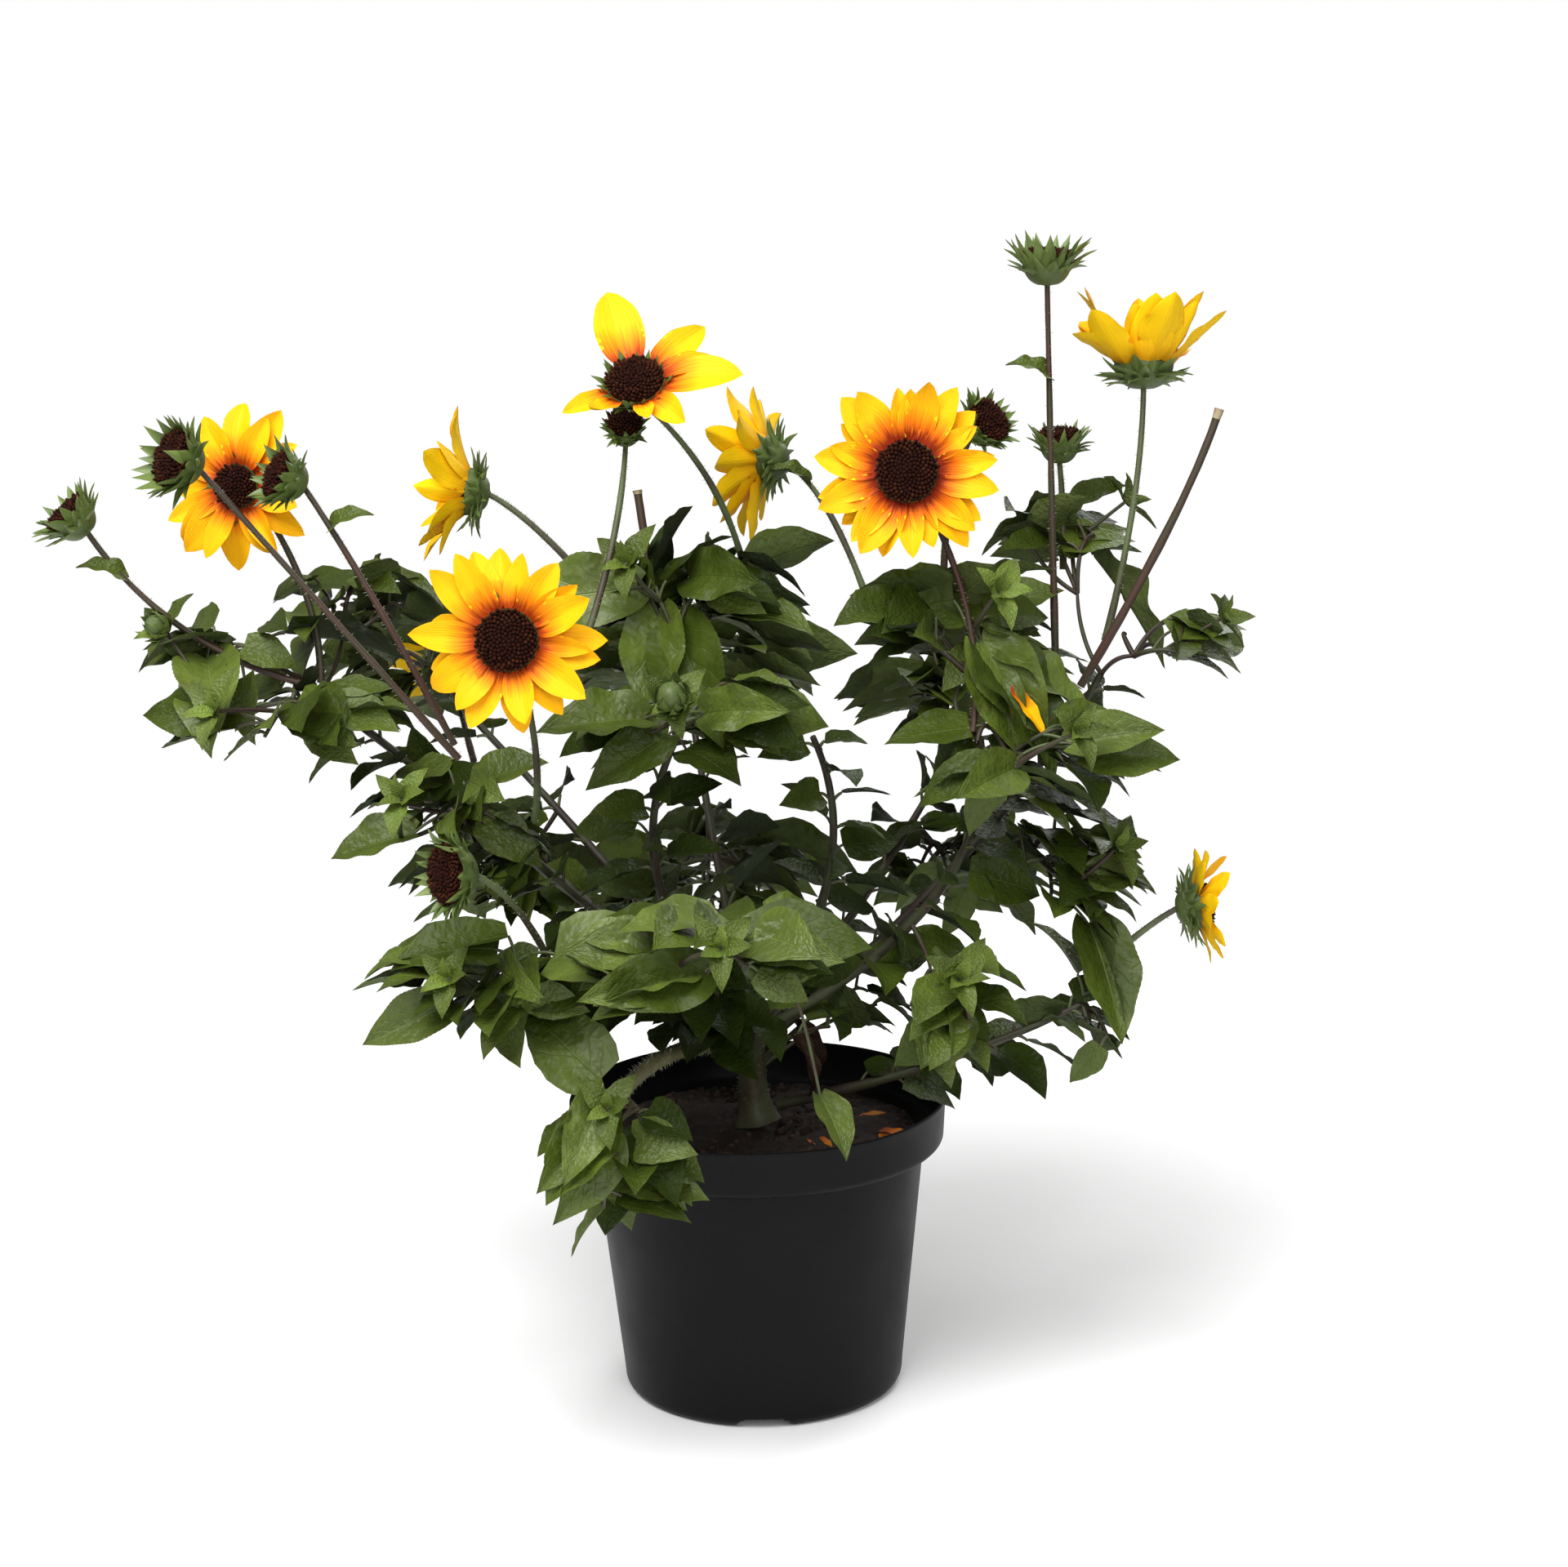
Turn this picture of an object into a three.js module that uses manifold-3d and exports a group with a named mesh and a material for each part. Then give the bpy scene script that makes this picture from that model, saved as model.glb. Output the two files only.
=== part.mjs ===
// A branching sunflower in a plastic nursery pot, in millimetres, with +Z up.
// The origin is the centre of the pot's flat underside, and the plant's front faces -Y.
// The stem forks just above the soil into boughs, each bough ends in a mass of leaves, and flower
// stalks rise out of the masses to open blooms and to heads that have gone to seed.
import * as THREE from 'three';
import { mergeVertices } from 'three/addons/utils/BufferGeometryUtils.js';
import Module from 'manifold-3d';

const wasm = await Module();
wasm.setup();

// Pot and soil
const GAP = 0.3;
const POT_HEIGHT = 174;
const RIM_RADIUS = 110;
const COLLAR = { height: 27, draft: 1.7, rounding: 2.5, under: 2, over: 1, straight: 5, shelf: 3 };
const BODY_TOP_RADIUS = 96.5;
const FOOT = { radius: 82, rounding: 7, steps: 3 };
const WALL = 2;
const FLOOR = 6.5;
const POT_SIDES = 28;
const NOTCHES = 4;
const NOTCH = { width: 27, height: 6, depth: 22 };
const SOIL = { level: 152, crown: 5, crownRadius: 16, fall: 4, clearance: 0.5 };

// Flower heads, from the tip of the stalk forwards
const CALYX_DEPTH = 13;
const CALYX_SWELL = { radius: 0.95, height: 0.45 };
const NECK = { radius: 3.2, overlap: 1 };
const DISC = { dome: 4, rise: 1 };
const SEED_HEAD = { radius: 21, disc: 13, points: 6, pointDepth: 0.3, rimRise: 3 };
const BLOOM = { fullRadius: 40, disc: 17, lobes: 9, lobeDepth: 0.22 };
const PARTED_BLOOM = { sides: 30, halfPetal: 12 };
const HEAD_ROOM = 2;
const LEAST_UPRIGHT = 0.2;

// Limbs
const BOUGH = { base: 4.2, tip: 2.8, sides: 5, rings: 4 };
const STALK = { base: 2.9, tip: 2.2, sides: 5, rings: 4 };
const STEM = { base: 9, tip: 6.5, flare: 5, flareLength: 0.16, sides: 8, rings: 5 };

// Masses of leaves: the waves over each one differ in direction and grow closer in pitch
const LUMPS = 0.16;
const WAVES = { number: 5, seedTurn: 2.4, turn: 1.7, tilt: 1.3, pitch: 2.2, pitchStep: 0.6 };
const LARGE_MASS = 59;
const ROUGHNESS = 0.7;

const COLOURS = {
  pot: 0x1b1b1c,
  soil: 0x33241b,
  stem: 0x5d6b35,
  bough: 0x54462f,
  leaf: 0x47662f,
  bloom: 0xf3b81f,
  seedHead: 0x4d5b2c,
  stalk: 0x6b4433,
};

// Each limb runs from its base through a point half way to its tip.
const MAIN_STEM = [[0, 2, SOIL.level + SOIL.crown + GAP], [-3, 1, 185], [-2, -4, 214]];
const BOUGHS = {
  front_low: [[-4, -4, 198], [-42, -68, 222], [-80, -118, 206]],
  front: [[-4, -8, 206], [-24, -78, 262], [-28, -128, 286]],
  front_left: [[-8, -6, 207], [-62, -62, 250], [-118, -98, 280]],
  left: [[-6, -4, 213], [-98, -42, 305], [-160, -66, 372]],
  left_tip: [[-92, -38, 299], [-166, -28, 360], [-248, -38, 432]],
  centre_left: [[-5, -4, 217], [-52, -40, 310], [-40, -54, 396]],
  centre_right: [[2, -3, 217], [44, -8, 308], [36, -32, 392]],
  right: [[3, -2, 213], [104, -34, 300], [128, -56, 394]],
  right_tip: [[8, 4, 208], [122, 4, 313], [200, -8, 420]],
  right_low: [[12, -2, 168], [104, -30, 200], [186, -40, 236]],
  back_left: [[-6, 4, 210], [-88, 62, 300], [-190, 128, 400]],
  back: [[-2, 6, 211], [-22, 92, 292], [-38, 176, 372]],
  back_right: [[4, 6, 209], [72, 80, 280], [134, 160, 360]],
};

// Each mass of leaves has a middle, its half lengths along X, Y and Z, and a slope down to one side.
const FOLIAGE = {
  left_tip: { at: [-284, -30, 452], half: [52, 44, 24], slope: -6 },
  left_shelf: { at: [-252, -62, 412], half: [60, 46, 22], slope: 6 },
  left_upper: { at: [-218, 42, 464], half: [46, 42, 44], slope: 0 },
  left: { at: [-172, -64, 358], half: [58, 48, 40], slope: 10 },
  front_left: { at: [-156, -118, 264], half: [58, 44, 40], slope: -6 },
  front_low: { at: [-72, -150, 184], half: [42, 34, 56], slope: 34 },
  front: { at: [-10, -152, 300], half: [80, 48, 34], slope: -8 },
  front_drip: { at: [32, -138, 192], half: [17, 18, 44], slope: 30 },
  right_low: { at: [100, -98, 248], half: [36, 32, 54], slope: 0 },
  right_tip: { at: [196, -42, 232], half: [30, 30, 40], slope: 18 },
  right_side: { at: [178, -22, 304], half: [50, 46, 36], slope: 20 },
  right: { at: [152, -64, 384], half: [72, 50, 38], slope: 8 },
  right_crown: { at: [116, -26, 458], half: [58, 46, 34], slope: -6 },
  right_end: { at: [234, 0, 432], half: [42, 40, 28], slope: 4 },
  top_right: { at: [178, 54, 494], half: [46, 38, 28], slope: 0 },
  top: { at: [-28, 24, 476], half: [90, 52, 36], slope: 0 },
  middle: { at: [-30, -52, 404], half: [78, 50, 34], slope: 0 },
  back_left: { at: [-214, 146, 412], half: [62, 58, 44], slope: 0 },
  back: { at: [-38, 204, 398], half: [88, 58, 46], slope: 0 },
  back_right: { at: [140, 176, 376], half: [72, 60, 46], slope: 0 },
  back_low: { at: [-34, 170, 252], half: [84, 58, 42], slope: 0 },
  left_low: { at: [-158, 96, 290], half: [58, 52, 40], slope: 0 },
  right_back_low: { at: [128, 112, 272], half: [58, 50, 42], slope: 0 },
};

// Each flower has its stalk's route, the way that its face looks, and its size. An open bloom's
// petals lean forwards by lift; a bloom that has lost petals lists the bearing and length of the rest.
const FLOWERS = {
  bloom_front_left: {
    stalk: [[-118, -72, 356], [-114, -104, 408], [-122, -132, 466]],
    facing: [-0.05, -1, 0.16], radius: 49, lift: 2,
  },
  bloom_right: {
    stalk: [[124, -58, 398], [121, -46, 468], [91, -48, 540]],
    facing: [-0.12, -1, 0.18], radius: 49, lift: 3,
  },
  bloom_far_left: {
    stalk: [[-238, -28, 428], [-247, -18, 482], [-276, -10, 537]],
    facing: [-0.3, -1, 0.1], radius: 40, lift: 3,
  },
  seedhead_left: {
    stalk: [[-157, -84, 394], [-211, -94, 463], [-287, -98, 557]],
    facing: [-0.65, -0.6, 0.35], radius: SEED_HEAD.radius,
  },
  seedhead_left_inner: {
    stalk: [[-160, -74, 400], [-201, -78, 484], [-236, -70, 543]],
    facing: [-0.75, -0.45, 0.4], radius: 18,
  },
  seedhead_left_tip: {
    stalk: [[-246, -42, 430], [-311, -46, 464], [-358, -50, 518]],
    facing: [-0.55, -0.2, 0.65], radius: 18,
  },
  bloom_left_back: {
    stalk: [[-100, 50, 480], [-126, 50, 507], [-148, 50, 523]],
    facing: [-0.95, -0.05, 0.15], radius: 36, lift: 24,
  },
  bloom_top: {
    stalk: [[0, 30, 474], [-19, 8, 532], [-56, -24, 582]],
    facing: [-0.1, -0.66, 0.74], radius: 19, lift: 2,
    petals: [[110, 66], [52, 55], [26, 50], [2, 61], [-46, 46], [-70, 38], [-122, 41], [-146, 44]],
  },
  seedhead_top: {
    stalk: [[-98, -46, 428], [-75, -26, 494], [-65, 2, 557]],
    facing: [0, -0.55, 0.6], radius: 12.5,
  },
  bloom_back: {
    stalk: [[77, 52, 434], [52, 72, 500], [24, 82, 535]],
    facing: [-0.85, 0.35, 0.1], radius: 36, lift: 24,
  },
  seedhead_right: {
    stalk: [[112, 2, 474], [117, 6, 520], [129, 4, 556]],
    facing: [0.55, -0.55, 0.5], radius: 19,
  },
  seedhead_top_right: {
    stalk: [[174, -12, 418], [172, -10, 525], [170, -10, 639]],
    facing: [0, -0.05, 1], radius: SEED_HEAD.radius,
  },
  seedhead_right_back: {
    stalk: [[184, 50, 472], [184, 52, 505], [182, 50, 535]],
    facing: [0, -0.1, 1], radius: 18,
  },
  bloom_top_right: {
    stalk: [[204, 10, 436], [221, 20, 511], [228, 30, 578]],
    facing: [0.03, 0.2, 0.97], radius: 44, lift: 28,
  },
  bloom_low_right: {
    stalk: [[194, -30, 252], [221, -30, 275], [241, -30, 288]],
    facing: [0.98, 0.05, 0.1], radius: 33, lift: 12,
  },
  seedhead_low_left: {
    stalk: [[-110, -100, 282], [-126, -128, 322], [-146, -150, 346]],
    facing: [-0.8, -0.6, 0.1], radius: SEED_HEAD.radius,
  },
  bloom_behind_left: {
    stalk: [[-170, 120, 352], [-182, 162, 384], [-186, 200, 398]],
    facing: [-0.35, 0.85, 0.35], radius: 42, lift: 4,
  },
  bloom_behind_right: {
    stalk: [[116, 134, 346], [126, 190, 392], [130, 230, 406]],
    facing: [0.3, 0.9, 0.3], radius: 42, lift: 4,
  },
  seedhead_behind: {
    stalk: [[-34, 160, 360], [-26, 216, 402], [-18, 250, 418]],
    facing: [0.05, 0.8, 0.55], radius: SEED_HEAD.radius,
  },
};
const BARE_STALK = [[188, -12, 414], [237, -20, 505], [264, -20, 569]];

const vector = (p) => new THREE.Vector3(...p);

// A closed mesh without its seams and without the empty triangles at its poles, as a solid
function solidOf(geometry) {
  const bare = geometry.clone();
  bare.deleteAttribute('normal');
  bare.deleteAttribute('uv');
  const merged = mergeVertices(bare, 1e-3);
  const index = merged.index.array;
  const triangles = [];
  for (let i = 0; i < index.length; i += 3) {
    const [a, b, c] = index.slice(i, i + 3);
    if (a !== b && b !== c && c !== a) triangles.push(a, b, c);
  }
  return new wasm.Manifold(new wasm.Mesh({
    numProp: 3,
    vertProperties: new Float32Array(merged.attributes.position.array),
    triVerts: new Uint32Array(triangles),
  }));
}

function geometryOf(solid) {
  const mesh = solid.getMesh();
  const geometry = new THREE.BufferGeometry();
  geometry.setAttribute('position', new THREE.BufferAttribute(mesh.vertProperties, 3));
  geometry.setIndex(new THREE.BufferAttribute(mesh.triVerts, 1));
  const faceted = geometry.toNonIndexed();
  faceted.computeVertexNormals();
  return faceted;
}

// A curve through a limb's base, middle and tip: a parabola
function routeOf([base, middle, tip]) {
  const [a, m, b] = [base, middle, tip].map(vector);
  const pull = m.clone().multiplyScalar(2).sub(a.clone().add(b).multiplyScalar(0.5));
  return new THREE.QuadraticBezierCurve3(a, pull, b);
}

// A closed cylinder carried along a curve, with its radius a function of the way along
function limb(route, radiusAt, { sides, rings }) {
  const curve = routeOf(route);
  const frames = curve.computeFrenetFrames(rings, false);
  const geometry = new THREE.CylinderGeometry(1, 1, 1, sides, rings);
  const position = geometry.attributes.position;
  const point = new THREE.Vector3();
  for (let i = 0; i < position.count; i++) {
    point.fromBufferAttribute(position, i);
    const along = THREE.MathUtils.clamp(0.5 - point.y, 0, 1);
    const ring = Math.round(along * rings);
    const radius = radiusAt(1 - along);
    const place = curve.getPointAt(1 - ring / rings);
    place.addScaledVector(frames.normals[rings - ring], point.x * radius);
    place.addScaledVector(frames.binormals[rings - ring], -point.z * radius);
    position.setXYZ(i, ...place);
  }
  return solidOf(geometry);
}

const taper = (size, grow) => (t) => THREE.MathUtils.lerp(size.base, size.tip, t) + grow;

// Turned about Z: a profile of radius and height pairs that starts and ends on the axis
function turned(profile, sides) {
  const points = profile.map(([r, z]) => new THREE.Vector2(r, z));
  return new THREE.LatheGeometry(points, sides).rotateX(Math.PI / 2);
}

// Outside: a rounded foot, a tapering body, and a collar that swells out under the rim.
// Inside: the same, a wall's thickness in, down to a flat floor. Four notches drain the foot.
function pot(grow) {
  const collarFoot = POT_HEIGHT - COLLAR.height;
  const collarRadius = RIM_RADIUS - COLLAR.draft;
  const outside = [[0, -grow]];
  for (let step = 0; step <= FOOT.steps; step++) {
    const turn = (step / FOOT.steps) * (Math.PI / 2);
    outside.push([
      FOOT.radius - FOOT.rounding * (1 - Math.sin(turn)) + grow * Math.sin(turn),
      FOOT.rounding * (1 - Math.cos(turn)) - grow * Math.cos(turn),
    ]);
  }
  outside.push([BODY_TOP_RADIUS + grow, collarFoot - COLLAR.under - grow]);
  outside.push([collarRadius - COLLAR.rounding + grow, collarFoot + COLLAR.over - grow]);
  outside.push([collarRadius + grow, collarFoot + COLLAR.straight]);
  outside.push([RIM_RADIUS + grow, POT_HEIGHT + grow]);
  const inside = [
    [RIM_RADIUS - WALL - grow, POT_HEIGHT + grow],
    [collarRadius - WALL - grow, collarFoot + COLLAR.straight],
    [collarRadius - WALL - COLLAR.shelf - grow, collarFoot + WALL + grow],
    [BODY_TOP_RADIUS - WALL - grow, collarFoot],
    [FOOT.radius - WALL - grow, FLOOR + grow],
    [0, FLOOR + grow],
  ];
  let body = solidOf(turned([...outside, ...inside], POT_SIDES));
  for (let i = 0; i < NOTCHES && grow === 0; i++) {
    const notch = new THREE.BoxGeometry(NOTCH.width, 2 * NOTCH.depth, 2 * NOTCH.height);
    notch.translate(0, -FOOT.radius, 0).rotateZ((i * 2 * Math.PI) / NOTCHES);
    body = body.subtract(solidOf(notch));
  }
  return body;
}

// The root ball fills the pot and crowns a little round the stem.
function soil(grow) {
  const inset = WALL + GAP - grow;
  const shoulder = POT_HEIGHT - COLLAR.height - GAP;
  const edge = BODY_TOP_RADIUS - inset - SOIL.clearance;
  return solidOf(turned([
    [0, FLOOR + GAP - grow],
    [FOOT.radius - inset, FLOOR + GAP - grow],
    [edge, shoulder],
    [edge, SOIL.level - SOIL.fall + grow],
    [SOIL.crownRadius, SOIL.level + SOIL.crown + grow],
    [0, SOIL.level + SOIL.crown + grow],
  ], POT_SIDES));
}

// The stem flares out at the soil and narrows to its fork.
function mainStem(grow) {
  const radiusAt = (t) => (
    taper(STEM, grow)(t) + STEM.flare * Math.exp(-t / STEM.flareLength)
  );
  return limb(MAIN_STEM, radiusAt, STEM);
}

// An ellipsoid with long soft waves over it, whose directions come from the mass's own seed
function foliage({ at, half, slope }, seed, grow) {
  const geometry = new THREE.IcosahedronGeometry(1, Math.max(...half) > LARGE_MASS ? 2 : 1);
  const waves = Array.from({ length: WAVES.number }, (_, k) => {
    const spin = seed * WAVES.seedTurn + k * WAVES.turn;
    const direction = new THREE.Vector3(Math.cos(spin), Math.sin(spin), Math.cos(spin * WAVES.tilt));
    return direction.multiplyScalar(WAVES.pitch + WAVES.pitchStep * k);
  });
  const lean = Math.tan(THREE.MathUtils.degToRad(slope));
  const position = geometry.attributes.position;
  const way = new THREE.Vector3();
  for (let i = 0; i < position.count; i++) {
    way.fromBufferAttribute(position, i).normalize();
    const lump = waves.reduce((sum, wave, k) => sum + Math.sin(way.dot(wave) + seed + k), 0);
    const reach = 1 + (LUMPS * lump) / Math.sqrt(WAVES.number);
    const x = way.x * (half[0] * reach + grow);
    const y = way.y * (half[1] * reach + grow);
    const z = way.z * (half[2] * reach + grow) - x * lean;
    position.setXYZ(i, at[0] + x, at[1] + y, at[2] + z);
  }
  return solidOf(geometry);
}

// Stand a piece made along +Z, with +Y upwards on its face, at a stalk's tip, looking along facing.
function stand(geometry, tip, facing) {
  const ahead = vector(facing).normalize();
  const upright = new THREE.Vector3(0, 0, 1).addScaledVector(ahead, -ahead.z);
  const up = upright.length() > LEAST_UPRIGHT ? upright.normalize() : new THREE.Vector3(0, 1, 0);
  const side = up.clone().cross(ahead).normalize();
  const square = ahead.clone().cross(side);
  const turn = new THREE.Matrix4().makeBasis(side, square, ahead).setPosition(...tip);
  return geometry.applyMatrix4(turn);
}

// How far a head's rim reaches at a bearing: even lobes, or the named petals that are left
function reachAt(flower, bearing) {
  const { radius, lift, petals } = flower;
  if (petals) {
    const away = (angle) => Math.abs(THREE.MathUtils.euclideanModulo(bearing - angle + 180, 360) - 180);
    const nearest = petals.map(([angle, length]) => (
      away(angle) < PARTED_BLOOM.halfPetal ? length : radius
    ));
    return Math.max(radius, ...nearest);
  }
  const lobes = lift === undefined ? SEED_HEAD.points : BLOOM.lobes;
  const depth = lift === undefined ? SEED_HEAD.pointDepth : BLOOM.lobeDepth;
  const swing = Math.cos(THREE.MathUtils.degToRad((bearing - 90) * lobes));
  return radius * (1 - depth * (0.5 - 0.5 * swing));
}

// A calyx that opens from the stalk's neck to a domed disc, with petals or pointed bracts round it
function head(flower, grow) {
  const { radius, lift, petals } = flower;
  const open = lift !== undefined;
  const disc = open
    ? BLOOM.disc * Math.min(1, radius / BLOOM.fullRadius)
    : (SEED_HEAD.disc * radius) / SEED_HEAD.radius;
  const rim = CALYX_DEPTH + (open ? lift : SEED_HEAD.rimRise);
  const profile = [
    [0, -NECK.overlap - grow],
    [NECK.radius + grow, -NECK.overlap - grow],
    [disc * CALYX_SWELL.radius + grow, CALYX_DEPTH * CALYX_SWELL.height - grow],
    [radius, rim],
    [disc - grow, CALYX_DEPTH + DISC.rise + grow],
    [0, CALYX_DEPTH + DISC.dome + grow],
  ];
  const rimPoint = 3;
  const sides = petals ? PARTED_BLOOM.sides : 2 * (open ? BLOOM.lobes : SEED_HEAD.points);
  const geometry = turned(profile, sides);
  const position = geometry.attributes.position;
  for (let i = 0; i < position.count; i++) {
    if (i % profile.length !== rimPoint) continue;
    const turn = Math.atan2(position.getY(i), position.getX(i));
    const reach = reachAt(flower, THREE.MathUtils.radToDeg(turn)) + grow;
    position.setX(i, Math.cos(turn) * reach);
    position.setY(i, Math.sin(turn) * reach);
  }
  return solidOf(stand(geometry, flower.stalk[2], flower.facing));
}

// The pieces in the order in which they take their space: each is cut clear of those before it.
const plant = new THREE.Group();
plant.name = 'potted_sunflower';
const placed = [];

function near(a, b) {
  return [0, 1, 2].every((k) => a.min[k] < b.max[k] + GAP && b.min[k] < a.max[k] + GAP);
}

function cutClear(solid, others) {
  return others.reduce((left, other) => (
    near(left.boundingBox(), other.boundingBox()) ? left.subtract(other) : left
  ), solid);
}

// build(grow) gives the piece grown all round by that much, which is the room that it needs.
function place(name, colour, build) {
  const pieces = cutClear(build(0), placed).decompose();
  const largest = pieces.sort((a, b) => b.volume() - a.volume())[0];
  placed.push(build(GAP));
  const material = new THREE.MeshStandardMaterial({ color: colour, roughness: ROUGHNESS, metalness: 0 });
  const mesh = new THREE.Mesh(geometryOf(largest), material);
  mesh.name = name;
  plant.add(mesh);
}

place('pot', COLOURS.pot, pot);
place('soil', COLOURS.soil, soil);
place('main_stem', COLOURS.stem, mainStem);
// Leaves part round the flower heads, and the stalks and boughs end where they reach the leaves.
Object.entries(FOLIAGE).forEach(([name, spec], i) => {
  place(`foliage_${name}`, COLOURS.leaf, (grow) => cutClear(
    foliage(spec, i + 1, grow),
    Object.values(FLOWERS).map((flower) => head(flower, HEAD_ROOM - 2 * grow)),
  ));
});
for (const [name, spec] of Object.entries(FLOWERS)) {
  const colour = spec.lift === undefined ? COLOURS.seedHead : COLOURS.bloom;
  place(name, colour, (grow) => limb(spec.stalk, taper(STALK, grow), STALK).add(head(spec, grow)));
}
place('bare_stalk', COLOURS.stalk, (grow) => limb(BARE_STALK, taper(STALK, grow), STALK));
for (const [name, route] of Object.entries(BOUGHS)) {
  place(`bough_${name}`, COLOURS.bough, (grow) => limb(route, taper(BOUGH, grow), BOUGH));
}

export default plant;
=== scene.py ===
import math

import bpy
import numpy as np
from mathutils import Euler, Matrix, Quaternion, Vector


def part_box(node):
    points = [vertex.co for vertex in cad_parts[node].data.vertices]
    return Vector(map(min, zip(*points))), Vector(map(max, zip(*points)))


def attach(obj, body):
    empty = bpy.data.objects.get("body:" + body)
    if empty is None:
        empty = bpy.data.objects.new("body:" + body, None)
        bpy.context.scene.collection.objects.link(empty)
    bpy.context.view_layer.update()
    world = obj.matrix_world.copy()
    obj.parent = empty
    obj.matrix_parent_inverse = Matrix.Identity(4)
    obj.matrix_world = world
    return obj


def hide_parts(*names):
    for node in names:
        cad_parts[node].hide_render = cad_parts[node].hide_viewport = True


bl_info = {
    "name": "Potted Sunflower",
    "version": (1, 0, 0),
    "blender": (4, 5, 0),
    "location": "3D View > Sidebar > Sunflower",
    "description": "Leaves, flower heads, stems, soil and pot round the sunflower's CAD frame",
    "category": "Add Mesh",
}

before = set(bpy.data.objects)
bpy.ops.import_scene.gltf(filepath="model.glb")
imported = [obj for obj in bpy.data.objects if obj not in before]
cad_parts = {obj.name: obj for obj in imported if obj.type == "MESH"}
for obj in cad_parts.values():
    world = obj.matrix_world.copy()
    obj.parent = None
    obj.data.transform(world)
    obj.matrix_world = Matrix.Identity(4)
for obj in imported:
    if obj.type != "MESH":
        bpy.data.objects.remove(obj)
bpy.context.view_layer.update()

MM = 0.001
BODY = "root"
UP = np.array([0.0, 0.0, 1.0])
FRONT = np.array([0.0, -1.0, 0.0])
GOLDEN_TURN = math.radians(137.50776)
PLACE_MAP = "OFBake"
# Where a blade's two midribs lie across the map, and how far its margins are from them
TOP_MIDRIB, UNDER_MIDRIB, BLADE_REACH = 0.25, 0.75, 0.23
MIDRIB_STEPS = 40

# The pot's sizes come from the CAD pot's box.
RIM_RADIUS, _, POT_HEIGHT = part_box("pot")[1]
COLLAR_HEIGHT = 27 * MM
SHOULDER = POT_HEIGHT - COLLAR_HEIGHT
SOIL_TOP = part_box("soil")[1][2]

# The limbs' routes, as the CAD part has them: base, half way and tip, in millimetres
MAIN_STEM = [[0, 2, 157], [-3, 1, 185], [-2, -4, 214]]
BOUGHS = {
    "front_low": [[-4, -4, 198], [-42, -68, 222], [-80, -118, 206]],
    "front": [[-4, -8, 206], [-24, -78, 262], [-28, -128, 286]],
    "front_left": [[-8, -6, 207], [-62, -62, 250], [-118, -98, 280]],
    "left": [[-6, -4, 213], [-98, -42, 305], [-160, -66, 372]],
    "left_tip": [[-92, -38, 299], [-166, -28, 360], [-248, -38, 432]],
    "centre_left": [[-5, -4, 217], [-52, -40, 310], [-40, -54, 396]],
    "centre_right": [[2, -3, 217], [44, -8, 308], [36, -32, 392]],
    "right": [[3, -2, 213], [104, -34, 300], [128, -56, 394]],
    "right_tip": [[8, 4, 208], [122, 4, 313], [200, -8, 420]],
    "right_low": [[12, -2, 168], [104, -30, 200], [186, -40, 236]],
    "back_left": [[-6, 4, 210], [-88, 62, 300], [-190, 128, 400]],
    "back": [[-2, 6, 211], [-22, 92, 292], [-38, 176, 372]],
    "back_right": [[4, 6, 209], [72, 80, 280], [134, 160, 360]],
}
BARE_STALK = [[188, -12, 414], [237, -20, 505], [264, -20, 569]]

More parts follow.
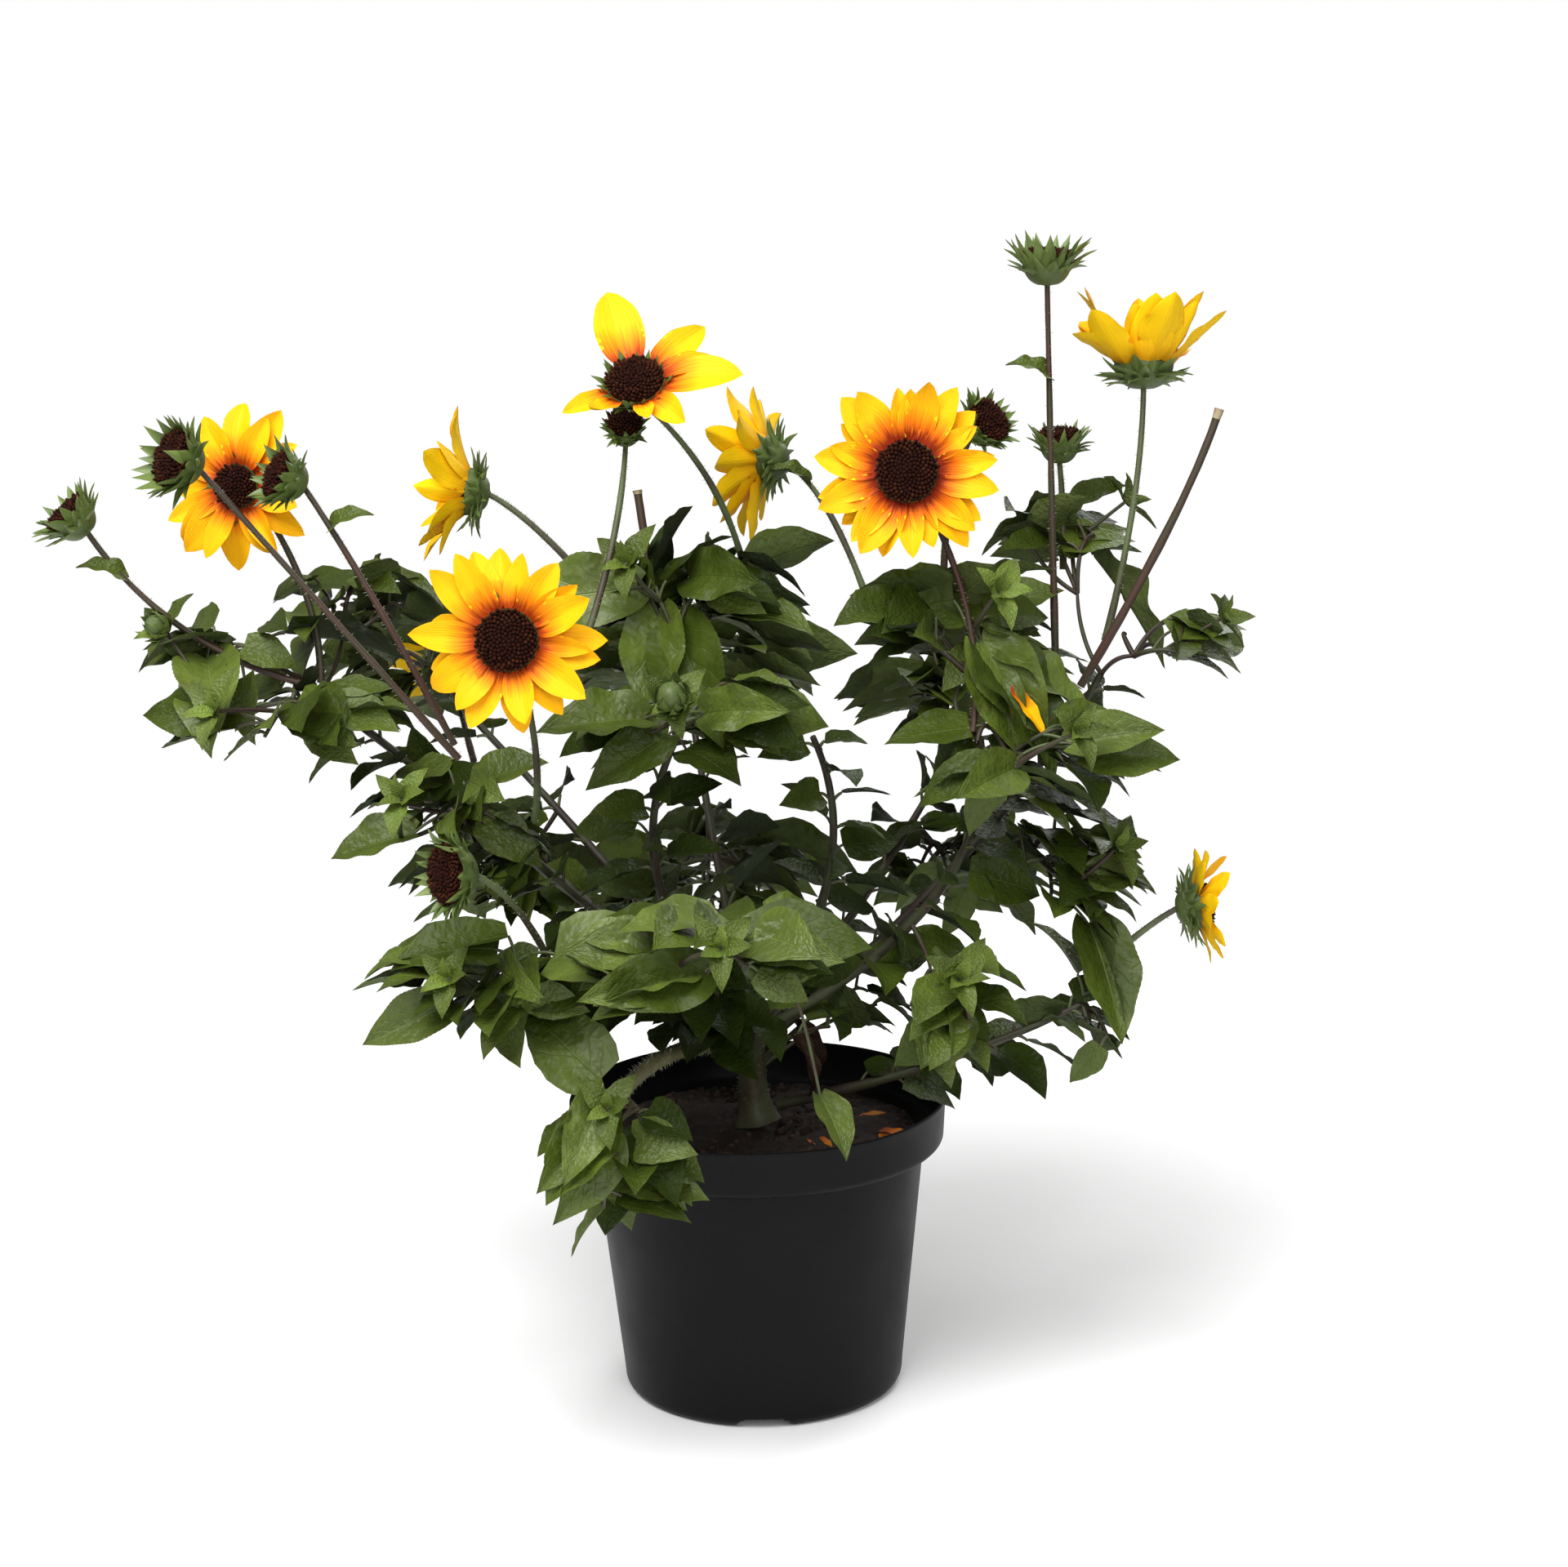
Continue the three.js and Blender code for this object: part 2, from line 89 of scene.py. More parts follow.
# Each flower's stalk as the CAD part has it, the way it faces, and its kind. An open bloom has
# its petals' length in millimetres, their number, how far they lean forwards in degrees, and
# which colouring they take; one that has shed petals lists the bearings and lengths of the rest.
FLOWERS = {
    "bloom_front_left": {
        "stalk": [[-118, -72, 356], [-114, -104, 408], [-122, -132, 466]],
        "facing": [-0.05, -1, 0.16], "petal": 35, "count": 20, "lean": 6, "disc": 15.5, "tone": "gold",
    },
    "bloom_right": {
        "stalk": [[124, -58, 398], [121, -46, 468], [91, -48, 540]],
        "facing": [-0.12, -1, 0.18], "petal": 34, "count": 25, "lean": 8, "disc": 16, "tone": "flame",
    },
    "bloom_far_left": {
        "stalk": [[-238, -28, 428], [-247, -18, 482], [-276, -10, 537]],
        "facing": [-0.3, -1, 0.1], "petal": 33, "count": 20, "lean": 6, "disc": 11.5, "tone": "gold",
    },
    "seedhead_left": {
        "stalk": [[-157, -84, 394], [-211, -94, 463], [-287, -98, 557]],
        "facing": [-0.65, -0.6, 0.35], "disc": 14, "bract": 18,
    },
    "seedhead_left_inner": {
        "stalk": [[-160, -74, 400], [-201, -78, 484], [-236, -70, 543]],
        "facing": [-0.75, -0.45, 0.4], "disc": 12, "bract": 15,
    },
    "seedhead_left_tip": {
        "stalk": [[-246, -42, 430], [-311, -46, 464], [-358, -50, 518]],
        "facing": [-0.55, -0.2, 0.65], "disc": 12, "bract": 15,
    },
    "bloom_left_back": {
        "stalk": [[-100, 50, 480], [-126, 50, 507], [-148, 50, 523]],
        "facing": [-0.95, -0.05, 0.15], "petal": 36, "count": 14, "lean": 38, "disc": 13, "tone": "gold",
    },
    "bloom_top": {
        "stalk": [[0, 30, 474], [-19, 8, 532], [-56, -24, 582]],
        "facing": [-0.1, -0.66, 0.74], "petal": 34, "count": 6, "lean": 10, "disc": 15, "tone": "gold",
        "left": [[110, 50], [52, 40], [24, 36], [2, 46], [-46, 32], [-70, 24], [-122, 27], [-146, 30]],
    },
    "seedhead_top": {
        "stalk": [[-98, -46, 428], [-75, -26, 494], [-65, 2, 557]],
        "facing": [0, -0.55, 0.6], "disc": 9, "bract": 9,
    },
    "bloom_back": {
        "stalk": [[77, 52, 434], [52, 72, 500], [24, 82, 535]],
        "facing": [-0.85, 0.35, 0.1], "petal": 37, "count": 15, "lean": 32, "disc": 13, "tone": "gold",
    },
    "seedhead_right": {
        "stalk": [[112, 2, 474], [117, 6, 520], [129, 4, 556]],
        "facing": [0.55, -0.55, 0.5], "disc": 12, "bract": 13,
    },
    "seedhead_top_right": {
        "stalk": [[174, -12, 418], [172, -10, 525], [170, -10, 639]],
        "facing": [0, -0.05, 1], "disc": 13, "bract": 18,
    },
    "seedhead_right_back": {
        "stalk": [[184, 50, 472], [184, 52, 505], [182, 50, 535]],
        "facing": [0, -0.1, 1], "disc": 11, "bract": 13,
    },
    "bloom_top_right": {
        "stalk": [[204, 10, 436], [221, 20, 511], [228, 30, 578]],
        "facing": [0.03, 0.2, 0.97], "petal": 43, "count": 18, "lean": 54, "disc": 16, "tone": "gold",
    },
    "bloom_low_right": {
        "stalk": [[194, -30, 252], [221, -30, 275], [241, -30, 288]],
        "facing": [0.98, 0.05, 0.1], "petal": 26, "count": 15, "lean": 26, "disc": 12, "tone": "gold",
    },
    "seedhead_low_left": {
        "stalk": [[-110, -100, 282], [-126, -128, 322], [-146, -150, 346]],
        "facing": [-0.8, -0.6, 0.1], "disc": 15, "bract": 16,
    },
    "bloom_behind_left": {
        "stalk": [[-170, 120, 352], [-182, 162, 384], [-186, 200, 398]],
        "facing": [-0.35, 0.85, 0.35], "petal": 31, "count": 18, "lean": 8, "disc": 14, "tone": "flame",
    },
    "bloom_behind_right": {
        "stalk": [[116, 134, 346], [126, 190, 392], [130, 230, 406]],
        "facing": [0.3, 0.9, 0.3], "petal": 31, "count": 20, "lean": 8, "disc": 14, "tone": "gold",
    },
    "seedhead_behind": {
        "stalk": [[-34, 160, 360], [-26, 216, 402], [-18, 250, 418]],
        "facing": [0.05, 0.8, 0.55], "disc": 14, "bract": 14,
    },
}
FOLIAGE = sorted(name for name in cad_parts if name.startswith("foliage_"))

CALYX_DEPTH = 13 * MM
DOME_HEIGHT = 3.2 * MM
PETAL_THICKNESS = 0.5 * MM  # the bracts' as well
# A head is built looking along its own Z.
HEAD_Z = np.array([0, 0, 1])
# Rings of bracts: their number, how far they close, how far along the cup, and their length
SEED_HEAD_BRACTS = ((13, 0.50, 0.45, 0.85), (15, 0.9, 0.72, 1.0), (14, 1.25, 0.95, 0.95))
BLOOM_BRACTS = ((11, -0.15, 0.3, 0.85), (13, 0.0, 0.55, 1.15), (13, 0.2, 0.8, 1.15))


# ---- Arrays of points and directions -------------------------------------------------------

def unit(vectors):
    """Each vector over its own length."""
    return vectors / np.maximum(np.linalg.norm(vectors, axis=-1, keepdims=True), 1e-12)


def squared_off(vectors, axis):
    """Each vector less its share along a unit axis, made a unit again."""
    return unit(vectors - (vectors * axis).sum(-1, keepdims=True) * axis)


def round_z(turn):
    """Level unit vectors at angles round Z."""
    turn = np.asarray(turn, float)
    return np.stack([np.cos(turn), np.sin(turn), 0 * turn], -1)


def parabola(routes, t):
    """Points and directions at t along curves through a base, a half-way point and a tip.

    A point is (1-t)^2 a + 2t(1-t) c + t^2 b, with c = 2m - (a + b)/2.
    """
    a, m, b = (routes[:, k, None, :] for k in range(3))
    pull = 2 * m - (a + b) / 2
    t = np.asarray(t)[None, :, None]
    points = (1 - t) ** 2 * a + 2 * t * (1 - t) * pull + t ** 2 * b
    return points, unit(2 * (1 - t) * (pull - a) + 2 * t * (b - pull))


def waves(points, seed, scale, octaves=3):
    """Smooth noise from -1 to 1: sines of the place along seeded directions, halved in size
    and doubled in pitch with each octave."""
    draw = np.random.default_rng(seed)
    total = np.zeros(points.shape[:-1])
    for octave in range(octaves):
        ways = unit(draw.normal(size=(4, 3))) * (2 ** octave / scale)
        phases = draw.uniform(0, 2 * math.pi, 4)
        total += np.sin(points @ ways.T + phases).mean(-1) / 2 ** octave
    return total


# ---- Meshes ---------------------------------------------------------------------------------

class Sheaf:
    """A mesh made of many copies. Its faces have four corners, and -1 for a fourth that is missing."""

    def __init__(self):
        self.points, self.faces, self.slots, self.places = [], [], [], []
        self.count = 0

    def add(self, copies, faces, places=None, slots=0):
        """Adds one mesh per row of copies, all with the same faces, corner places and slots."""
        number, size = copies.shape[:2]
        starts = self.count + size * np.arange(number)[:, None, None]
        self.faces.append(np.where(faces[None] < 0, -1, faces[None] + starts).reshape(-1, 4))
        if places is None:
            places = np.zeros((len(faces), 4, 2))
        self.places.append(np.tile(places, (number, 1, 1)))
        self.slots.append(np.tile(np.broadcast_to(slots, len(faces)), number))
        self.points.append(copies.reshape(-1, 3))
        self.count += number * size

    def add_limbs(self, routes, radii, sides, rings, ridges=0.0, seed=0, slots=0, swelling=None):
        """Limbs along routes, widened ring by ring if they swell."""
        copies = tubes(routes, radii, sides, rings, ridges, seed)
        if swelling is not None:
            skin = copies[:, :-2].reshape(len(copies), rings, sides, 3)
            axis = skin.mean(2, keepdims=True)
            skin = axis + (skin - axis) * swelling[:, None, None]
            copies = np.concatenate([skin.reshape(len(copies), -1, 3), copies[:, -2:]], 1)
        self.add(copies, tube_faces(rings, sides), tube_places(rings, sides), slots)

    def add_hairs(self, routes, radii, number, length, seed, slot):
        """Short cones on limbs, at seeded places along and round each one."""
        draw = np.random.default_rng(seed)
        t = np.sort(draw.uniform(0, 1, number))
        points, ahead = parabola(routes, t)
        out = squared_off(draw.normal(size=points.shape), ahead)
        radius = tapered(radii, len(routes), t)
        foot = points + out * radius[..., None] * 0.9
        tip = foot + (out + ahead * 0.3) * length * draw.uniform(0.6, 1.3, (*radius.shape, 1))
        needles = np.stack([foot, (foot + tip) / 2, tip], 2).reshape(-1, 3, 3)
        self.add(tubes(needles, metres([0.16, 0.05]), 3, 2), tube_faces(2, 3), slots=slot)

    def build(self, name, finishes, replaced, slot):
        """The mesh object, at the origin, riding on the plant in place of its CAD nodes."""
        faces = np.concatenate(self.faces)
        used = faces >= 0
        lengths = used.sum(1)
        mesh = bpy.data.meshes.new(name)
        mesh.vertices.add(self.count)
        mesh.vertices.foreach_set("co", np.concatenate(self.points).astype(np.float32).ravel())
        mesh.loops.add(int(lengths.sum()))
        mesh.loops.foreach_set("vertex_index", faces[used].astype(np.int32))
        mesh.polygons.add(len(faces))
        mesh.polygons.foreach_set("loop_start", (np.cumsum(lengths) - lengths).astype(np.int32))
        mesh.polygons.foreach_set("material_index", np.concatenate(self.slots).astype(np.int32))
        layer = mesh.uv_layers.new(name=PLACE_MAP)
        layer.data.foreach_set("uv", np.concatenate(self.places)[used].astype(np.float32).ravel())
        for finish in finishes:
            mesh.materials.append(finish)
        mesh.update(calc_edges=True)
        mesh.shade_smooth()
        mesh.set_sharp_from_angle(angle=math.radians(75))
        piece = bpy.data.objects.new(name, mesh)
        bpy.context.scene.collection.objects.link(piece)
        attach(piece, BODY)
        if replaced:
            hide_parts(*replaced)
        return piece


def band_faces(rows, columns):
    """Four-cornered faces between neighbouring rings of corners."""
    row, column = np.meshgrid(np.arange(rows - 1), np.arange(columns), indexing="ij")
    after = (column + 1) % columns
    low, high = row * columns, (row + 1) * columns
    return np.stack([low + column, low + after, high + after, high + column], -1).reshape(-1, 4)


def fan_faces(ring, pole, outwards):
    """Three-cornered faces from a closed ring of corners to one pole."""
    after = np.roll(ring, -1)
    pair = (after, ring) if outwards else (ring, after)
    return np.stack([*pair, np.full(len(ring), pole), np.full(len(ring), -1)], -1)


def tube_faces(rings, sides):
    """A grid of rings closed round, with a pole at each end."""
    poles = rings * sides
    return np.concatenate([
        band_faces(rings, sides),
        fan_faces(np.arange(sides), poles, True),
        fan_faces(np.arange(sides) + (rings - 1) * sides, poles + 1, False),
    ])


def metres(numbers):
    """Millimetres as an array in metres."""
    return np.array(numbers, float) * MM


def tapered(radii, number, t):
    """Radii at t along limbs, from the radius at the base to the one at the tip."""
    radii = np.broadcast_to(radii, (number, 2))
    return radii[:, 0, None] + (radii[:, 1] - radii[:, 0])[:, None] * t


def tubes(routes, radii, sides, rings, ridges=0.0, seed=0):
    """Limbs, one per route: a ring is r(t)(1 + ridges) of cos and sin round the curve.

    r runs from the base radius to the tip radius; five low ridges and soft lumps give the relief.
    """
    t = np.linspace(0, 1, rings)
    points, ahead = parabola(routes, t)
    chord = unit(routes[:, 2] - routes[:, 0])
    spare = np.where(np.abs(chord[:, 2:]) < 0.9, UP, FRONT)
    across = unit(np.cross(chord, spare))[:, None, :]
    side = unit(np.cross(across, ahead))
    other = np.cross(ahead, side)
    turn = np.linspace(0, 2 * math.pi, sides, endpoint=False)
    radius = tapered(radii, len(routes), t)[:, :, None] * (1 + ridges * np.cos(5 * turn))
    ring = np.cos(turn)[:, None] * side[:, :, None, :] + np.sin(turn)[:, None] * other[:, :, None, :]
    skin = points[:, :, None, :] + radius[..., None] * ring
    if ridges:
        skin = skin + ring * (radius * 0.12 * waves(skin, seed, 0.006))[..., None]
    flat = skin.reshape(len(routes), -1, 3)
    return np.concatenate([flat, points[:, :1], points[:, -1:]], 1)


def tube_places(rings, sides):
    """Corner places on a tube: how far round, and how far along."""
    faces = tube_faces(rings, sides)
    index = np.arange(rings * sides)
    round_, along = (index % sides) / sides, (index // sides) / (rings - 1)
    place = np.concatenate([np.stack([round_, along], -1), [[0.5, 0.0], [0.5, 1.0]]])
    return place[np.maximum(faces, 0)]


class Blade:
    """A thin closed leaf or petal: a grid of rows along it and columns across it.

    Row v and column s, from -1 to 1, stand at half width h(v) s across the midrib. The halves
    fold up from the midrib, the midrib bends down evenly, the margin ripples and is toothed, and
    the underside lies a thickness below, meeting the top at the margin.
    """

    def __init__(self, rows, half_columns, outline, lobe=0.0, tooth=0.0):
        self.v = np.linspace(0, 1, rows + 2)[1:-1]
        self.s = np.linspace(-1, 1, 2 * half_columns + 1)
        self.lobe, self.tooth = lobe, tooth
        self.half = outline(self.v)
        rows, columns = len(self.v), len(self.s)
        top = 1 + np.arange(rows * columns).reshape(rows, columns)
        inner = 1 + rows * columns + np.arange(rows * (columns - 2)).reshape(rows, columns - 2)
        under = np.concatenate([top[:, :1], inner, top[:, -1:]], 1)
        last = 1 + rows * columns + rows * (columns - 2)
        skins = [self.skin(top, last, False), self.skin(under, last, True)]
        self.faces, self.places = (np.concatenate(both) for both in zip(*skins))
        self.slots = np.repeat([0, 1], [len(faces) for faces, _ in skins])

    def skin(self, grid, last, under):
        """One side of the blade: its faces, and their corners' places in the map. The blade's
        first and last corners are the poles at its ends."""
        quads = np.stack([grid[:-1, :-1], grid[:-1, 1:], grid[1:, 1:], grid[1:, :-1]], -1).reshape(-1, 4)
        gap = np.full(grid.shape[1] - 1, -1)
        foot = np.stack([gap * 0, grid[0, 1:], grid[0, :-1], gap], -1)
        tip = np.stack([grid[-1, :-1], grid[-1, 1:], gap * 0 + last, gap], -1)
        faces = np.concatenate([quads, foot, tip])
        if under:
            faces = np.where(faces[:, 3:] < 0, faces[:, [2, 1, 0, 3]], faces[:, ::-1])
        place = np.zeros((last + 1, 2))
        middle = UNDER_MIDRIB if under else TOP_MIDRIB
        place[grid, 0] = middle + BLADE_REACH * self.s[None, :]
        place[grid, 1] = 0.02 + 0.96 * self.v[:, None]
        place[0] = (middle, 0.02)
        place[last] = (middle, 0.98)
        return faces, place[np.maximum(faces, 0)]

    def grow(self, base, ahead, face, length, width, bend, fold, twist, ripple, thickness, phase, curl=0.0):
        """Copies of the blade: each starts at base, points ahead, and faces the way of its top.
        The numbers after the width are one for each copy, or one for them all."""
        bend, fold, twist, ripple, phase, curl = (
            np.broadcast_to(value, len(base)) for value in (bend, fold, twist, ripple, phase, curl)
        )
        v = self.v[None, :]
        fine = np.linspace(0, 1, MIDRIB_STEPS + 1)
        angle = bend[:, None] * fine + curl[:, None] * fine ** 4
        step = length[:, None] / MIDRIB_STEPS
        at = v[0] * MIDRIB_STEPS
        low = np.floor(at).astype(int)
        share = at - low

        def run(values):
            mean = (values[:, 1:] + values[:, :-1]) / 2
            return np.concatenate([np.zeros((len(base), 1)), np.cumsum(mean * step, 1)], 1)

        def pick(values):
            return values[:, low] * (1 - share) + values[:, np.minimum(low + 1, MIDRIB_STEPS)] * share

        forward, down = run(np.cos(angle)), run(np.sin(angle))
        forward_v, down_v, angle_v = pick(forward), pick(down), pick(angle)
        face = squared_off(face, ahead)
        side = np.cross(ahead, face)
        mid = base[:, None] + forward_v[..., None] * ahead[:, None] - down_v[..., None] * face[:, None]
        along = np.cos(angle_v)[..., None] * ahead[:, None] - np.sin(angle_v)[..., None] * face[:, None]
        up = np.sin(angle_v)[..., None] * ahead[:, None] + np.cos(angle_v)[..., None] * face[:, None]
        spin = twist[:, None] * v
        across = np.cos(spin)[..., None] * side[:, None] + np.sin(spin)[..., None] * up
        up = np.cos(spin)[..., None] * up - np.sin(spin)[..., None] * side[:, None]
        s = self.s[None, None, :]
        edge = np.abs(s)
        saw = np.where(np.arange(len(self.v)) % 2, 1, -1) * np.clip(self.v * 6 - 0.6, 0, 1)
        teeth = 1 + self.tooth * saw[None, :, None] * edge ** 8
        half = (self.half[None, :] * width[:, None] / 2)[..., None]
        lateral = s * half * np.cos(fold)[:, None, None] * teeth
        wave = np.sin(2 * math.pi * 2.6 * v[..., None] + phase[:, None, None] + 1.4 * np.sign(s))
        swing = (ripple * length)[:, None, None] * self.half[None, :, None]
        height = edge * half * np.sin(fold)[:, None, None] + swing * wave * edge ** 2
        pucker = np.sin(2 * math.pi * (5 * v[..., None] - 1.6 * edge))
        height = height + 0.48 * swing * pucker * edge * (1 - edge)
        back = self.lobe * length[:, None, None] * s ** 2 * (1 - v[..., None]) ** 6
        top = (
            mid[:, :, None] + lateral[..., None] * across[:, :, None]
            + height[..., None] * up[:, :, None] - back[..., None] * along[:, :, None]
        )
        depth = thickness * (1 - self.s[1:-1] ** 2)
        under = top[:, :, 1:-1] - depth[None, None, :, None] * up[:, :, None]
        end = base + forward[:, -1:] * ahead - down[:, -1:] * face
        parts = [base[:, None], top.reshape(len(base), -1, 3), under.reshape(len(base), -1, 3), end[:, None]]
        return np.concatenate(parts, 1)


# ---- Node materials -------------------------------------------------------------------------

class Socket:
    """A node's output, with arithmetic that adds Math nodes."""

    def __init__(self, finish, output):
        self.finish, self.output = finish, output

    def math(self, operation, *others):
        return self.finish.node("ShaderNodeMath", {"operation": operation}, (self, *others))

    def __add__(self, other):
        return self.math("ADD", other)

    def __sub__(self, other):
        return self.math("SUBTRACT", other)

    def __rsub__(self, other):
        return self.finish.node("ShaderNodeMath", {"operation": "SUBTRACT"}, (other, self))

    def __mul__(self, other):
        return self.math("MULTIPLY", other)

    def __truediv__(self, other):
        return self.math("DIVIDE", other)

    def __pow__(self, other):
        return self.math("POWER", other)

    def __abs__(self):
        return self.math("ABSOLUTE")

    __radd__ = __add__
    __rmul__ = __mul__

    def rise(self, low, high):
        """0 below low, 1 above high, smooth between."""
        settings = {"interpolation_type": "SMOOTHSTEP", "clamp": True}
        return self.finish.node("ShaderNodeMapRange", settings, {0: self, 1: low, 2: high})


class Finish:
    """One Principled material, with every node added by node()."""

    def __init__(self, name, colour, roughness, specular=0.5):
        self.material = bpy.data.materials.new(name)
        self.material.use_nodes = True
        self.tree = self.material.node_tree
        self.shader = next(n for n in self.tree.nodes if n.type == "BSDF_PRINCIPLED")
        settings = {"Base Color": (*colour, 1), "Roughness": roughness, "Specular IOR Level": specular}
        self.feed(self.shader, settings)

    def feed(self, node, inputs):
        pairs = inputs.items() if isinstance(inputs, dict) else enumerate(inputs)
        for key, value in pairs:
            if isinstance(value, Socket):
                self.tree.links.new(value.output, node.inputs[key])
            else:
                node.inputs[key].default_value = value

    def node(self, kind, settings, inputs=(), output=0):
        """Adds a node: its settings first, then the values or links of its sockets."""
        node = self.tree.nodes.new(kind)
        for key, value in settings.items():
            if key == "stops":
                ramp = node.color_ramp
                for place, colour in value[2:]:
                    ramp.elements.new(place).color = (*colour, 1)
                for element, (place, colour) in zip((ramp.elements[0], ramp.elements[-1]), value[:2]):
                    element.position, element.color = place, (*colour, 1)
            else:
                setattr(node, key, value)
        self.feed(node, inputs)
        return Socket(self, node.outputs[output])

    def place(self):
        """How far across and how far along the piece's own map."""
        spot = self.node("ShaderNodeUVMap", {"uv_map": PLACE_MAP})
        return (
            self.node("ShaderNodeSeparateXYZ", {}, (spot,), "X"),
            self.node("ShaderNodeSeparateXYZ", {}, (spot,), "Y"),
        )

    def noise(self, vector, scale, detail=3, roughness=0.55):
        inputs = {"Vector": vector, "Scale": scale, "Detail": detail, "Roughness": roughness}
        return self.node("ShaderNodeTexNoise", {}, inputs)

    def here(self):
        return self.node("ShaderNodeTexCoord", {}, (), "Object")

    def vector(self, x, y, z=0.0):
        return self.node("ShaderNodeCombineXYZ", {}, (x, y, z))

    def mix(self, share, a, b):
        """Colour a where share is 0 and b where it is 1."""
        a, b = (c if isinstance(c, Socket) else (*c, 1) for c in (a, b))
        return self.node("ShaderNodeMix", {"data_type": "RGBA"}, {0: share, 6: a, 7: b}, 2)

    def colour(self, value):
        self.feed(self.shader, {"Base Color": value})

    def bump(self, height, distance, strength=0.6):
        inputs = {"Height": height, "Distance": distance, "Strength": strength}
        self.feed(self.shader, {"Normal": self.node("ShaderNodeBump", {}, inputs)})


def veins(finish, middle):
    """How near a midrib or side vein is, from 0 to 1, on a blade whose midrib lies at middle.

    The side veins are where 6(v - 0.34 |s|^0.75), bent a little by noise, is a whole number.
    """
    across, along = finish.place()
    edge = abs(across - middle) / BLADE_REACH
    wander = finish.noise(finish.vector(across, along), 7.0, 1)
    phase = (along - (edge ** 0.75) * 0.34 + wander * 0.09) * 6
    near = abs(phase.math("FRACT") - 0.5) * 2
    side = near.rise(0.88, 1.0) * (1 - edge.rise(0.5, 0.95))
    rib = 1 - edge.rise(0.012, 0.05)
    return rib.math("MAXIMUM", side * 0.5), across, along


def leaf_finish(name, colour, vein, gloss, roughness, middle):
    """A blade: paler veins, mottled green between them, and a soft swelling between the veins."""
    finish = Finish(name, colour, roughness, gloss)
    line, across, along = veins(finish, middle)
    spot = finish.vector(across, along)
    blotch = finish.noise(finish.here(), 34.0)
    darker, lighter = ([c * share for c in colour] for share in (0.78, 1.18))
    shade = finish.mix(blotch.rise(0.32, 0.68), darker, lighter)
    finish.colour(finish.mix(line * 0.5, shade, vein))
    grain = finish.noise(spot, 70.0, 2)
    swell = finish.noise(spot, 15.0, 1)
    finish.bump((1 - line) * 0.35 + grain * 0.12 + swell * 1.1, 0.0015, 0.75)
    return finish.material


def petal_finish(name, base, middle, tip, flame):
    """A ray floret: dark at its foot, in streaks that run out along it."""
    finish = Finish(name, tip, 0.55, specular=0.12)
    across, along = finish.place()
    streak = finish.noise(finish.vector(across * 46.0, along * 1.3), 1.0, 2)
    reach = along + (0.5 - streak) * 0.34
    stops = [(0.0, base), (1.0, tip), (flame * 0.5, base), (flame, middle), (min(flame * 1.7, 0.9), tip)]
    ramp = finish.node("ShaderNodeValToRGB", {"stops": stops}, (reach,))
    rib = finish.noise(finish.vector(across * 60.0, along * 0.8), 1.0, 1)
    finish.colour(ramp)
    finish.bump(rib, 0.0007, 0.6)
    return finish.material


def plain_finish(name, colour, other, roughness, scale, depth, specular=0.4):
    """Two shades of one colour in soft patches, with a fine grain."""
    finish = Finish(name, colour, roughness, specular)
    spot = finish.here()
    finish.colour(finish.mix(finish.noise(spot, scale).rise(0.35, 0.68), colour, other))
    finish.bump(finish.noise(spot, scale * 7, 4), depth)
    return finish.material


def hair_finish(name):
    """The stiff pale hairs of the stems."""
    return plain_finish(name, (0.30, 0.31, 0.22), (0.20, 0.21, 0.14), 0.5, 200.0, 0.0001, 0.2)


# ---- The plan: where each twig, leaf and flower stands --------------------------------------

# Each tone's colour, the colour of its veins and its gloss
# The plan deals the deep and dark tones mostly to leaves inside the plant and in shade, as painted shade,
# and the light tone more to leaves at the front, as painted light.
LEAF_TONES = {
    "deep": ((0.020, 0.032, 0.004), (0.032, 0.048, 0.008), 0.08),
    "dark": ((0.038, 0.057, 0.006), (0.058, 0.082, 0.011), 0.15),
    "green": ((0.062, 0.089, 0.010), (0.092, 0.128, 0.018), 0.28),
    "light": ((0.082, 0.114, 0.017), (0.120, 0.158, 0.030), 0.34),
    "young": ((0.122, 0.176, 0.024), (0.172, 0.238, 0.042), 0.30),
    "withered": ((0.026, 0.012, 0.007), (0.050, 0.026, 0.014), 0.10),
}

# Flower stalks with a small leaf under the head, and the side that it grows to: -1 left, 1 right
STALK_LEAVES = {
    "seedhead_top_right": -1, "seedhead_left_tip": -1, "seedhead_left_inner": 1, "bloom_back": -1,
}

# Masses whose young shoot ends in a closed bud, and the bud's radius in millimetres
BUDS = {"foliage_middle": 12, "foliage_left_tip": 9, "foliage_back_right": 10}

# A mass before this Y turns its outer side to the front, and one behind it to the back.
FRONT_ENDS = 50 * MM
FLOWER_CLEARANCE = 120 * MM


def mass_box(name):
    """The middle of a node's box, and half its size."""
    low, high = (np.array(corner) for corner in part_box(name))
    return (low + high) / 2, (high - low) / 2


def outward(centre):
    """The level way from the stem out through a mass, drawn towards the plant's front or back."""
    return unit(np.array([centre[0], 3 * (centre[1] - FRONT_ENDS), 0.0]))


def shoot(name):
    """Where a mass has its young shoot, high on its outer side, and the way that it points."""
    centre, half = mass_box(name)
    way = outward(centre)
    return centre + half * (way * 0.8 + UP * 0.5), unit(way + UP * 0.6)


def stands_before(points, place, facing, reach, depth):
    """Which points stand before a face at a place, within a reach of its axis and a depth."""
    offset = points - place
    forward = offset @ facing
    beside = np.linalg.norm(offset - forward[:, None] * facing, axis=1)
    return (forward > -12 * MM) & (forward < depth) & (beside < reach)


def leaf_outline(v):
    """Half width over the greatest: v^0.55 (1 - v)^1.15, broad near the stalk, with a long point."""
    return v ** 0.55 * (1 - v) ** 1.15 / 0.3450


def petal_outline(v):
    """Half width over the greatest: (v + 0.1)^0.75 (1 - v)^0.8, with a narrow foot and a point."""
    return (v + 0.1) ** 0.75 * (1 - v) ** 0.8 / 0.396


